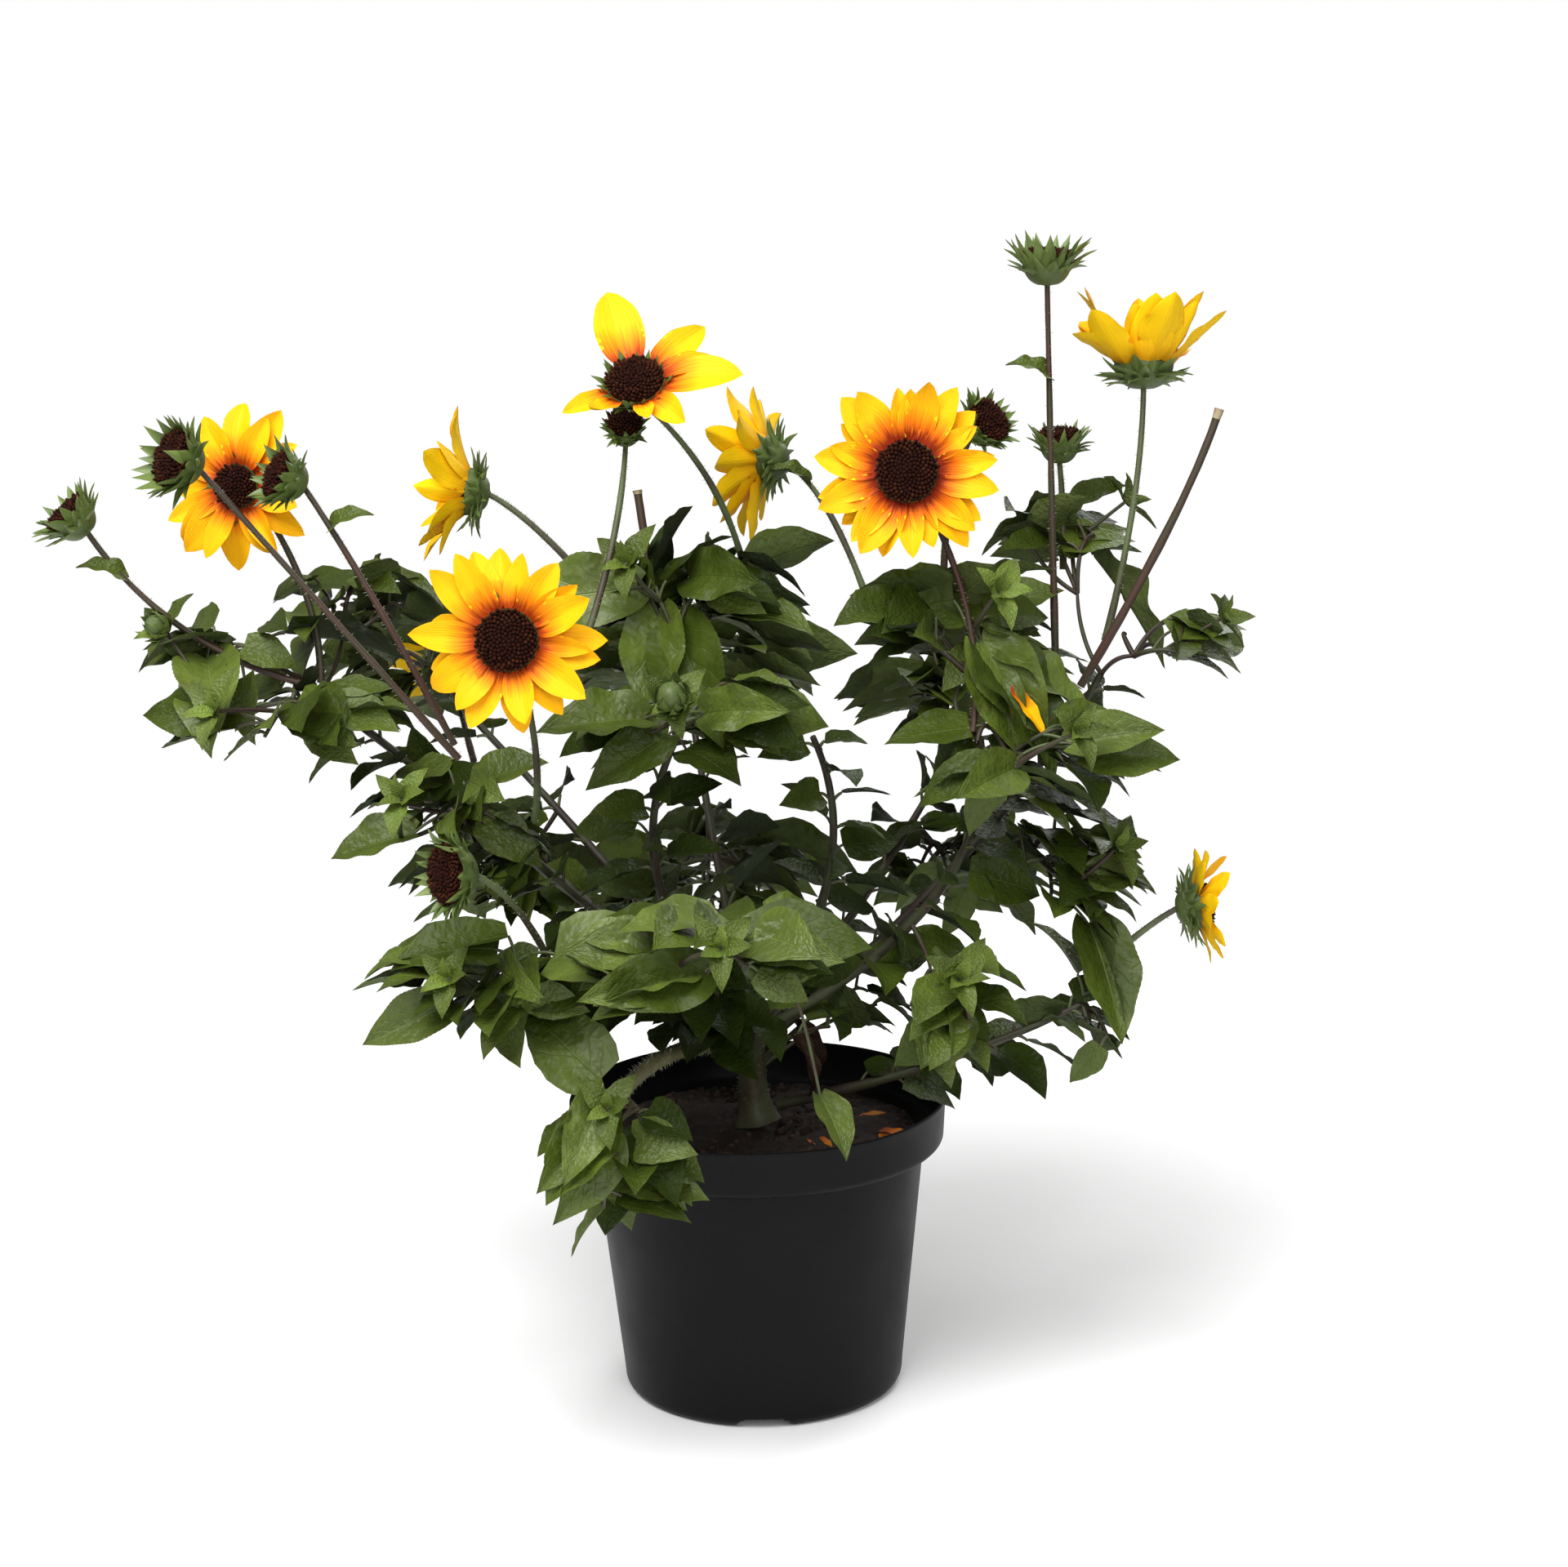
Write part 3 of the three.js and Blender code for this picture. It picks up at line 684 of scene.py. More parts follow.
def bract_outline(v):
    """Half width over the greatest: broad at the foot, drawn out to a long point."""
    return np.sqrt(v + 0.12) * (1 - v) ** 1.25 / 0.42


class Plan:
    """The whole plant's leaves as arrays. A seeded rule grows twigs into each mass from the limb
    that feeds it, pairs of leaves on each twig, each pair a quarter turn on, large leaves on the
    mass's outer side and a young shoot on top of them."""

    def __init__(self, settings):
        self.draw = np.random.default_rng(settings.seed)
        self.settings = settings
        self.twigs, self.leaves, self.petioles = [], [], []
        self.masses = {name: mass_box(name) for name in FOLIAGE}
        self.middles, self.halves = (np.array(side) for side in zip(*self.masses.values()))
        boughs = metres(list(BOUGHS.values()))
        self.nodes = parabola(boughs, np.linspace(0.35, 1, 14))[0].reshape(-1, 3)
        self.large, self.large_stalks, self.young = [], [], []
        for name in FOLIAGE:
            self.fill(name)
        for name, route in zip(BOUGHS, boughs):
            if name != "front_low":
                self.clothe(route)
        self.carpet()
        self.leaves, self.petioles = self.columns(self.leaves), np.array(self.petioles)
        on_twigs = parabola(np.array(self.twigs), np.linspace(0, 1, 8))[0].reshape(-1, 3)
        self.limbs = np.concatenate([self.nodes, on_twigs])
        for name in FOLIAGE:
            self.spread_large(name)
        for flower, side in STALK_LEAVES.items():
            self.stalk_leaf(metres(FLOWERS[flower]["stalk"]), side)
        self.wither()
        self.large = self.columns(self.large)
        self.keep_clear()
        for name in FOLIAGE:
            if self.area(self.masses[name][1]) > 3 * settings.twig_area:
                self.rosette(*shoot(name), 6 + len(self.young) % 3, name in BUDS)
        self.young = self.columns(self.young)
        self.twigs = np.array(self.twigs)

    def columns(self, rows):
        return {key: np.array([row[key] for row in rows]) for key in rows[0]}

    def nearest(self, places, point):
        return places[np.argmin(np.linalg.norm(places - point, axis=1))]

    def area(self, half):
        """The mean of a box's three cross-sections, over four."""
        return (half[0] * half[1] + half[1] * half[2] + half[0] * half[2]) / 3

    def fill(self, name):
        """Twigs from the nearest limb to places spread evenly through the mass. A mass too slight
        for three twigs has only its large leaves."""
        centre, half = self.masses[name]
        root = self.nearest(self.nodes, centre)
        number = min(round(self.area(half) / self.settings.twig_area), 9)
        if number < 3:
            return
        hub = root + (centre - root) * 0.55
        self.twigs.append(np.array([root, (root + hub) / 2 + self.draw.normal(size=3) * 0.004, hub]))
        for k in range(number):
            height = 1 - (2 * k + 1) / number
            turn = k * GOLDEN_TURN + self.draw.uniform(0, 1.0)
            level = math.sqrt(max(0.0, 1 - height * height))
            way = np.array([level * math.cos(turn), level * math.sin(turn), height * 0.75])
            tip = centre + half * way * self.settings.twig_reach
            middle = (hub + tip) / 2 + UP * 0.005 + self.draw.normal(size=3) * 0.004
            route = np.array([hub, middle, tip])
            self.twigs.append(route)
            self.pair_up(route, [0.45, 0.72, 0.97], centre, 1.0)

    def clothe(self, route):
        """Small dark leaves along a bough, in the shade of the masses, whether in a mass or not; their dark
        tones are painted shade.
        """
        stations = np.linspace(0.25, 0.95, self.settings.bough_leaves)
        self.pair_up(route, stations, np.array([0, 0, route[1][2]]), 0.72, shaded=True)

    def carpet(self):
        """Small dark leaves on short side shoots of the stem, low over the soil; their dark tones are
        painted shade.
        """
        for k in range(self.settings.low_shoots):
            turn = k * GOLDEN_TURN
            out = round_z(turn)
            foot = metres(MAIN_STEM[1]) + UP * 0.004 * (k % 4)
            tip = foot + out * self.draw.uniform(0.035, 0.075) + UP * self.draw.uniform(-0.005, 0.05)
            route = np.array([foot, (foot + tip) / 2 + UP * 0.006, tip])
            self.twigs.append(route)
            self.pair_up(route, [0.6, 0.97], foot, 0.6, shaded=True)

    def pair_up(self, route, stations, centre, scale, shaded=False):
        """Pairs of leaves at stations along a twig, each pair a little smaller than the last."""
        points, ahead = parabola(route[None], stations)
        turn = self.draw.uniform(0, math.pi)
        shrink = 0.4 / len(stations)
        for k, (point, way) in enumerate(zip(points[0], ahead[0])):
            turn += math.pi / 2 + self.draw.normal() * 0.2
            side = squared_off(np.array([math.cos(turn), math.sin(turn), 0.3]), way)
            for sign in (1, -1):
                self.leaf(point, way, sign * side, centre, scale * (1.1 - shrink * k), shaded)

    def leaf(self, point, way, side, centre, scale, shaded=False):
        """One leaf of a pair, turned on round the twig and shortened until it fits the masses."""
        draw = self.draw
        away = unit(np.array([point[0], point[1], 0.0]) + 1e-4)
        out = unit(point - centre + 1e-4)
        length = self.settings.leaf_length * scale * draw.uniform(0.75, 1.2)
        overhang = self.settings.overhang
        for _ in range(self.settings.tries):
            petiole = length * draw.uniform(0.18, 0.35)
            lead = unit(side * 0.9 + out * 0.35 + way * 0.4 + UP * 0.2)
            base = point + lead * petiole
            ahead = unit(lead * [1, 1, 0.3] + away * 0.2 - UP * draw.uniform(-0.1, 0.35))
            heart, tip = base + ahead * length * 0.5, base + ahead * length * 0.95 - UP * length * 0.2
            free = all(map(self.clears_pot, (heart, tip)))
            if free and (shaded or self.fits(heart, tip, overhang)):
                break
            side = squared_off(side + np.cross(way, side) * 0.9, way)
            length *= 0.93
        else:
            return
        face = unit(UP * 0.75 + away * draw.uniform(0.3, 1.1) + draw.normal(size=3) * 0.22)
        self.petioles.append([point, (point + base) / 2 + UP * petiole * 0.12, base])
        # The tone follows the leaf's place: deeper inside and in shade, as painted shade, and lighter at the
        # front low down, as painted light.
        tone = draw.choice(["deep", "dark", "green", "light"], p=self.tones(base, shaded))
        self.leaves.append({
            "base": base, "ahead": ahead, "face": face, "length": length,
            "width": length * draw.uniform(0.55, 0.74), "bend": draw.uniform(0.15, 0.7), "tone": tone,
            **self.habit(0.35),
        })

    def clears_pot(self, point):
        """Whether a point is above the pot's wall, or well inside or outside it."""
        from_axis = math.hypot(point[0], point[1])
        beside_wall = RIM_RADIUS - 22 * MM < from_axis < RIM_RADIUS + 6 * MM
        return point[2] > POT_HEIGHT + 8 * MM or not beside_wall

    def fits(self, heart, tip, overhang):
        """Whether a leaf's middle and tip both lie in one mass, or just outside it."""
        inner, outer = self.middles, self.halves
        return bool(np.any(
            (np.linalg.norm((heart - inner) / outer, axis=1) < 1.0)
            & (np.linalg.norm((tip - inner) / (outer + overhang), axis=1) < 1.0)
        ))

    def habit(self, curl):
        """The small differences between one leaf and the next."""
        draw = self.draw
        return {
            "fold": draw.uniform(0.1, 0.4), "twist": draw.normal() * 0.2,
            "ripple": draw.uniform(0.012, 0.035), "phase": draw.uniform(0, 6.28),
            "curl": draw.uniform(0.0, curl),
        }

    def stalk_to(self, point):
        """A twig from the nearest limb below a point."""
        below = self.limbs[self.limbs[:, 2] < point[2] - 0.02]
        start = self.nearest(below, point - UP * 0.03)
        middle = (start + point) / 2 + self.draw.normal(size=3) * 0.003
        self.twigs.append(np.array([start, middle, point]))

    def rosette(self, point, axis, number, budding):
        """A young shoot: leaves a golden turn apart, upright in the middle and lower outside."""
        if self.hides_flower(point[None]) and not budding:
            return
        self.stalk_to(point)
        length = self.settings.young_length
        tone = self.draw.choice(["green", "light", "young"], p=[0.5, 0.35, 0.15])
        side = squared_off(np.array([0.1, 0.3, 0.9]), axis)
        other = np.cross(axis, side)
        for k in range(number):
            turn = k * GOLDEN_TURN + self.draw.normal() * 0.1
            open_ = 0.3 + 1.1 * k / number
            out = math.cos(turn) * side + math.sin(turn) * other
            ahead = axis * math.cos(open_) + out * math.sin(open_)
            face = axis * math.sin(open_) - out * math.cos(open_)
            reach = length * (0.55 + 0.45 * k / number) * self.draw.uniform(0.85, 1.15)
            self.young.append({
                "base": point + out * MM, "ahead": ahead, "face": face, "length": reach,
                "width": reach * 0.55, "bend": self.draw.uniform(0.3, 0.9),
                "tone": tone if k > 1 else "young", **self.habit(0.3),
            })

    def spread_large(self, name):
        """Large leaves on a mass's outer side, a golden turn apart, turned on and shortened
        until they fit. Those of the lowest masses hang down."""
        draw, settings = self.draw, self.settings
        centre, half = self.masses[name]
        out = outward(centre)
        across = np.cross(out, UP)
        hang = np.clip((0.30 - centre[2]) / 0.10, 0, 1)
        number = max(1, round(self.area(half) / settings.large_area))
        for k in range(number):
            spread = math.sqrt((k + 0.5) / number)
            turn = k * GOLDEN_TURN + draw.uniform(0, 1)
            length = settings.large_length * draw.uniform(0.85, 1.35)
            for _ in range(2 * settings.tries):
                side, rise = math.cos(turn), math.sin(turn)
                aside = spread * (across * side * 0.4 + UP * rise * 0.65)
                base = centre + half * aside + half * out * 0.4
                ahead = unit(across * side + out * 0.35 + UP * (0.45 * rise - 0.2 - 0.8 * hang))
                points = base + ahead * length * np.array([[0.1], [0.5], [1.0]])
                fits = self.fits(points[1], points[2], settings.large_overhang)
                if fits and all(map(self.clears_pot, points)) and not self.hides_flower(points):
                    facing = out * 0.8 + UP * (0.6 - 0.4 * hang) + draw.normal(size=3) * 0.3
                    width, bend = length * draw.uniform(0.56, 0.7), draw.uniform(0.2, 0.5)
                    self.place(base, points[2], width, facing, bend, self.large_tone(base))
                    break
                turn += 0.6
                length *= 0.96

    def hides_flower(self, points):
        """Whether any point stands before a flower's face, or just in front of the flower."""
        for flower in FLOWERS.values():
            head, facing = metres(flower["stalk"][2]), unit(np.array(flower["facing"], float))
            reach = self.reach(flower)
            if stands_before(points, head, facing, reach, FLOWER_CLEARANCE).any():
                return True
            if stands_before(points, head, FRONT, reach, 0.08).any():
                return True
        return False

    def reach(self, flower):
        """How far from a head's axis a leaf has to stay."""
        return (flower.get("petal", flower.get("bract", 0)) + flower["disc"] + 8) * MM

    def large_tone(self, base):
        """Large leaves are lighter the nearer they are to the front and darker towards the back: painted
        light and painted shade.
        """
        front = np.clip(-base[1] / 0.15, 0, 1)
        shares = [0.3 - 0.2 * front, 0.5, 0.2 + 0.2 * front]
        return self.draw.choice(["dark", "green", "light"], p=shares)

    def stalk_leaf(self, stalk, side):
        """A small leaf that stands out from a flower's stalk, a little under the head."""
        base = parabola(stalk[None], [0.78])[0][0][0]
        out = np.array([side, -0.3, 0.3])
        tip = base + unit(out) * self.settings.young_length
        self.place(base, tip, 15 * MM, UP + FRONT * 0.8, 1.2, "green", petiole=False)

    def wither(self):
        """Two dead leaves that hang beside the stem, below its fork."""
        for turn in (-0.5, 0.4):
            out = round_z(turn)
            base = metres(MAIN_STEM[2]) + out * 0.028
            self.place(base, base + out * 0.008 - UP * 0.036, 13 * MM, out + FRONT, 2.0, "withered")

    def place(self, base, tip, width, facing, bend, tone, petiole=True):
        """One large leaf on its own stalk, arched so that it ends at its tip."""
        reach = np.linalg.norm(tip - base)
        chord = (tip - base) / reach
        face = squared_off(np.array(facing, float), chord)
        ahead = chord * math.cos(bend / 2) + face * math.sin(bend / 2)
        length = reach * (bend / 2) / math.sin(bend / 2)
        if petiole:
            start = self.nearest(self.limbs, base - ahead * 0.02)
            middle = (start + base) / 2 + UP * 0.1 * np.linalg.norm(base - start)
            self.large_stalks.append([start, middle, base])
        habit = self.habit(0.0)
        self.large.append({
            "base": base, "ahead": ahead, "face": face, "length": length, "width": width,
            "bend": bend, "tone": tone, **habit,
            "fold": habit["fold"] + 0.22, "ripple": habit["ripple"] * 1.5,
        })

    def tones(self, base, shaded):
        """Leaves at the front and low down are the lightest, as painted light; those inside and those in
        shade are the darkest, as painted shade.
        """
        # Leaves in the shade of the masses take only the deep and dark tones: painted shade.
        if shaded:
            return [0.75, 0.25, 0.0, 0.0]
        front = np.clip(-base[1] / 0.15, 0, 1)
        inner = np.clip(1 - math.hypot(base[0], base[1]) / 0.14, 0, 1)
        low = base[2] < 0.33
        # The deep tone grows towards the stem, as painted shade; the light tone grows at the front low down,
        # as painted light.
        weights = np.array([0.12 + 0.8 * inner, 0.4, 0.55, 0.12 + 0.5 * front * low])
        return weights / weights.sum()

    def hearts(self, leaves):
        """A point half a blade's length along each leaf's first direction."""
        return leaves["base"] + leaves["ahead"] * leaves["length"][:, None] * 0.5

    def keep_clear(self):
        """Drops the leaves that would stand before a flower's face or a large leaf."""
        heart = self.hearts(self.leaves)
        drop = np.zeros(len(heart), bool)
        for flower in FLOWERS.values():
            facing = unit(np.array(flower["facing"], float))
            head, reach = metres(flower["stalk"][2]), self.reach(flower)
            drop |= stands_before(heart, head, facing, reach, FLOWER_CLEARANCE)
        large = self.large
        for middle, face, length in zip(self.hearts(large), large["face"], large["length"]):
            drop |= stands_before(heart, middle, face, length * 0.5, 0.06)
        keep = ~drop
        self.leaves = {key: values[keep] for key, values in self.leaves.items()}
        self.petioles = self.petioles[keep]


# ---- Properties -----------------------------------------------------------------------------

def share(label, text, default, unit="NONE"):
    return bpy.props.FloatProperty(name=label, description=text, default=default, unit=unit)


def length(label, text, default):
    return share(label, text, default, "LENGTH")


def area(label, text, default):
    return share(label, text, default, "AREA")


def count(label, text, default, least=0):
    return bpy.props.IntProperty(name=label, description=text, default=default, min=least)


def colour(label, text, default):
    return bpy.props.FloatVectorProperty(
        name=label, description=text, default=default, size=3, subtype="COLOR", min=0, max=1,
    )


class PotSettings(bpy.types.PropertyGroup):
    wall: length("Wall", "Thickness of the pot's wall", 1.6 * MM)
    colour: colour("Colour", "The pot's plastic", (0.0035, 0.0035, 0.0037))
    soil: colour("Soil", "The potting soil", (0.0130, 0.0070, 0.0048))
    sides: count("Sides", "Faces round the pot", 192, 32)


class LeafSettings(bpy.types.PropertyGroup):
    seed: count("Seed", "Seed of the branching rule", 7)
    leaf_length: length("Leaf length", "Length of a common leaf's blade", 58 * MM)
    twig_area: area("Twig area", "Share of a mass's cross-section for each twig", 0.0004)
    twig_reach: share("Twig reach", "How far out in a mass its twigs end", 0.5)
    overhang: length("Overhang", "How far a leaf's tip may leave its mass", 10 * MM)
    large_length: length("Large length", "Length of a large leaf's blade", 74 * MM)
    large_area: area("Large area", "Share of a mass's cross-section for each large leaf", 0.00060)
    large_overhang: length("Large overhang", "How far a large leaf's tip may leave its mass", 17 * MM)
    young_length: length("Young length", "Length of a young shoot's leaves", 27 * MM)
    tries: count("Tries", "Turns tried before a leaf that won't fit is left out", 7, 1)
    bough_leaves: count("Bough leaves", "Pairs of leaves along each bough", 8)
    low_shoots: count("Low shoots", "Short side shoots of the stem over the soil", 9)
    thickness: length("Thickness", "Thickness of a leaf", 0.6 * MM)


class FlowerSettings(bpy.types.PropertyGroup):
    seed: count("Seed", "Seed of the petals' small differences", 11)
    petal_width: share("Petal width", "Width of a petal over its length", 0.5)
    florets: count("Florets", "Florets in a disc 17 mm in radius", 230)


class StageSettings(bpy.types.PropertyGroup):
    floor: colour("Floor", "The floor's colour", (0.92, 0.92, 0.92))
    camera_height: length("Camera height", "The camera's height over the floor", 0.715)
    camera_distance: length("Camera distance", "How far the camera is before the pot's axis", 1.7105)


# ---- Operators ------------------------------------------------------------------------------

def turned(profile, sides, change=None):
    """A profile of radius and height pairs carried round Z. Its first and last pairs are poles."""
    profile = np.array(profile)
    turn = np.linspace(0, 2 * math.pi, sides, endpoint=False)
    radius, height = profile[1:-1, 0, None], profile[1:-1, 1, None]
    grid = np.stack([radius * np.cos(turn), radius * np.sin(turn), height + 0 * turn], -1)
    if change is not None:
        grid = change(grid)
    ends = np.array([[0, 0, profile[0, 1]], [0, 0, profile[-1, 1]]])
    return np.concatenate([grid.reshape(-1, 3), ends])[None]


def arc(centre, radius, start, end, steps):
    """Pairs on a round corner from one angle to another, in degrees."""
    angle = np.radians(np.linspace(start, end, steps))
    return np.stack([centre[0] + radius * np.cos(angle), centre[1] + radius * np.sin(angle)], -1)


class SUNFLOWER_OT_pot(bpy.types.Operator):
    """Turn the pot, with its foot, drain notches, tapering wall, collar and lip"""

    bl_idname = "sunflower.pot"
    bl_label = "Pot"

    def execute(self, context):
        settings = context.scene.sunflower_pot
        wall = settings.wall
        foot, rounding = 82 * MM, 7 * MM
        body_top = 96.5 * MM
        collar = RIM_RADIUS - 1.7 * MM
        lip = 0.8 * MM
        outside = [
            [[0, 0]], [[30 * MM, 0]], [[58 * MM, 0]], [[66 * MM, 0]],
            arc((foot - rounding, rounding), rounding, -90, -4, 7),
            np.linspace([foot + 0.6 * MM, 14 * MM], [body_top, SHOULDER - 3 * MM], 9),
            [[body_top + 0.1 * MM, SHOULDER - 1.6 * MM]],
            arc((collar - 4.5 * MM, SHOULDER + 4 * MM), 4.5 * MM, -80, 0, 7),
            np.linspace(
                [collar + 0.1 * MM, SHOULDER + 6 * MM],
                [RIM_RADIUS - 0.35 * MM, POT_HEIGHT - 2.4 * MM], 4,
            ),
            arc((RIM_RADIUS - lip, POT_HEIGHT - lip), lip, 0, 180, 7),
            np.linspace([RIM_RADIUS - 2 * lip, POT_HEIGHT - 3 * MM], [collar - wall, SHOULDER + 6 * MM], 3),
            [[collar - wall - 2 * MM, SHOULDER + 2 * MM], [body_top - wall, SHOULDER - 1 * MM]],
            np.linspace([body_top - wall - 0.4 * MM, SHOULDER - 8 * MM], [foot - wall, 9 * MM], 6),
            [[0, 8 * MM]],
        ]
        profile = np.concatenate([np.array(part, float).reshape(-1, 2) for part in outside])
        sheaf = Sheaf()
        rings = len(profile) - 2
        sheaf.add(turned(profile, settings.sides, self.notched), tube_faces(rings, settings.sides))
        finish = Finish("pot_plastic", settings.colour, 0.42, specular=0.1)
        spot = finish.here()
        finish.feed(finish.shader, {"Roughness": finish.noise(spot, 22.0).rise(0.2, 0.8) * 0.14 + 0.36})
        finish.bump(finish.noise(spot, 900.0, 2), 0.00012, 0.5)
        sheaf.build("pot_body", [finish.material], ["pot"], "pot")
        return {"FINISHED"}

    def notched(self, grid):
        """Four drain notches lift the foot's edge by 6 mm over a width of 24 mm, and slope back
        down over 5 mm on each side."""
        x, y, z = np.moveaxis(grid, -1, 0)
        along = np.minimum(np.abs(x), np.abs(y))
        near_rim = np.hypot(x, y) > 60 * MM
        inside = np.clip((17 * MM - along) / (5 * MM), 0, 1) * near_rim
        grid[..., 2] = np.maximum(z, 6 * MM * inside)
        return grid


class SUNFLOWER_OT_soil(bpy.types.Operator):
    """Fill the pot with crumbly soil, with crumbs and shreds of bark on it"""

    bl_idname = "sunflower.soil"
    bl_label = "Soil"

    def execute(self, context):
        settings = context.scene.sunflower_pot
        rings, sides = 60, 120
        edge = 94 * MM
        profile = [[0, 8.5 * MM], [79.5 * MM, 8.5 * MM]]
        profile += [[edge - 0.6 * MM, SHOULDER - 6 * MM], [edge, SHOULDER + 1 * MM]]
        profile += [
            [edge * (1 - k / rings), SOIL_TOP - 6 * MM + 4 * MM * k / rings] for k in range(1, rings)
        ]
        profile += [[0, SOIL_TOP - 1 * MM]]

        def crumbly(grid):
            top = np.clip((grid[..., 2] - SHOULDER) / (1 * MM), 0, 1)
            rough = waves(grid, 3, 0.012) * 2.2 * MM + waves(grid, 4, 0.003, 2) * 1.2 * MM
            grid[..., 2] += rough * top
            return grid

        sheaf = Sheaf()
        rows = len(profile) - 2
        sheaf.add(turned(profile, sides, crumbly), tube_faces(rows, sides))
        colour = np.array(settings.soil)
        finish = plain_finish("potting_soil", colour, colour * 2.1, 0.95, 160.0, 0.0016)
        sheaf.build("soil_bed", [finish], ["soil"], "soil")
        self.crumbs(colour)
        return {"FINISHED"}

    def crumbs(self, colour):
        """Lumps: balls of three rings of six corners and two poles, roughened, some of them
        drawn out, each turned about Z by a seeded draw."""
        draw = np.random.default_rng(21)
        number = 900
        radius = 92 * MM * np.sqrt(draw.uniform(0.02, 1, number))
        turn = draw.uniform(0, 2 * math.pi, number)
        at = round_z(turn) * radius[:, None]
        at[:, 2] = SOIL_TOP - 3 * MM - radius * 0.035
        size = draw.uniform(0.8, 2.6, (number, 1)) * MM * draw.uniform(0.5, 1.3, (number, 3))
        long = np.where(draw.uniform(size=(number, 1)) < 0.2, [[3.0, 0.7, 0.6]], [[1, 1, 1]])
        rows, sides = 3, 6
        latitude = np.radians([-50, 0, 50])[:, None]
        angle = np.linspace(0, 2 * math.pi, sides, endpoint=False)[None]
        ball = round_z(angle) * np.cos(latitude)[..., None]
        ball[..., 2] = np.sin(latitude)
        ball = np.concatenate([ball.reshape(-1, 3), [[0, 0, -1], [0, 0, 1]]])
        rough = ball[None] * (1 + draw.uniform(-0.25, 0.25, (number, len(ball), 1)))
        shaped = rough * (size * long)[:, None]
        spin = draw.uniform(0, 2 * math.pi, number)
        c, s = np.cos(spin)[:, None], np.sin(spin)[:, None]
        x, y = shaped[..., 0] * c - shaped[..., 1] * s, shaped[..., 0] * s + shaped[..., 1] * c
        copies = np.stack([x, y, shaped[..., 2]], -1) + at[:, None]
        sheaf = Sheaf()
        dark = draw.uniform(size=number) < 0.7
        sheaf.add(copies[dark], tube_faces(rows, sides))
        sheaf.add(copies[~dark], tube_faces(rows, sides), slots=1)
        finishes = [
            plain_finish("soil_crumb", colour * 1.3, colour * 2.4, 0.95, 300.0, 0.0008),
            plain_finish("bark_shred", colour * 3.0, colour * 5.0, 0.9, 300.0, 0.0008),
        ]
        sheaf.build("soil_crumbs", finishes, [], "soil")


class SUNFLOWER_OT_limbs(bpy.types.Operator):
    """Grow the main stem and the boughs, with low ridges"""

    bl_idname = "sunflower.limbs"
    bl_label = "Stem and boughs"

    def execute(self, context):
        green, brown = (0.052, 0.060, 0.024), (0.045, 0.028, 0.016)
        finish = plain_finish("stem_skin", green, brown, 0.6, 45.0, 0.0008)
        stem = Sheaf()
        route, rings = metres([MAIN_STEM]), 40
        flare = 1 + 0.55 * np.exp(-np.linspace(0, 1, rings) / 0.16)
        stem.add_limbs(route, metres([9, 6.5]), 20, rings, 0.05, 1, swelling=flare)
        stem.add_hairs(route, metres([9.5, 6.5]), 260, 2.2 * MM, 32, 1)
        stem.build("main_stem_skin", [finish, hair_finish("stem_hair")], ["main_stem"], "stem")

        boughs = Sheaf()
        rings, sides = 36, 12
        routes = metres(list(BOUGHS.values()))
        radii = np.array([[4.6, 4.2] if name == "front_low" else [3.2, 1.9] for name in BOUGHS]) * MM
        old = np.array([name == "front_low" for name in BOUGHS])
        copies, places = tubes(routes, radii, sides, rings, 0.06, 2), tube_places(rings, sides)
        boughs.add(copies[~old], tube_faces(rings, sides), places)
        boughs.add(copies[old], tube_faces(rings, sides), places, 1)
        boughs.add_hairs(routes[old], radii[old], 700, 2.2 * MM, 31, 2)
        bark = plain_finish("bough_skin", (0.036, 0.040, 0.017), (0.026, 0.013, 0.010), 0.55, 30.0, 0.0006)
        pale = plain_finish(
            "old_bough_skin", (0.120, 0.125, 0.055), (0.085, 0.070, 0.036), 0.6, 60.0, 0.0008,
        )
        finishes = [bark, pale, hair_finish("bough_hair")]
        boughs.build("bough_skins", finishes, [f"bough_{n}" for n in BOUGHS], "bough")
        return {"FINISHED"}


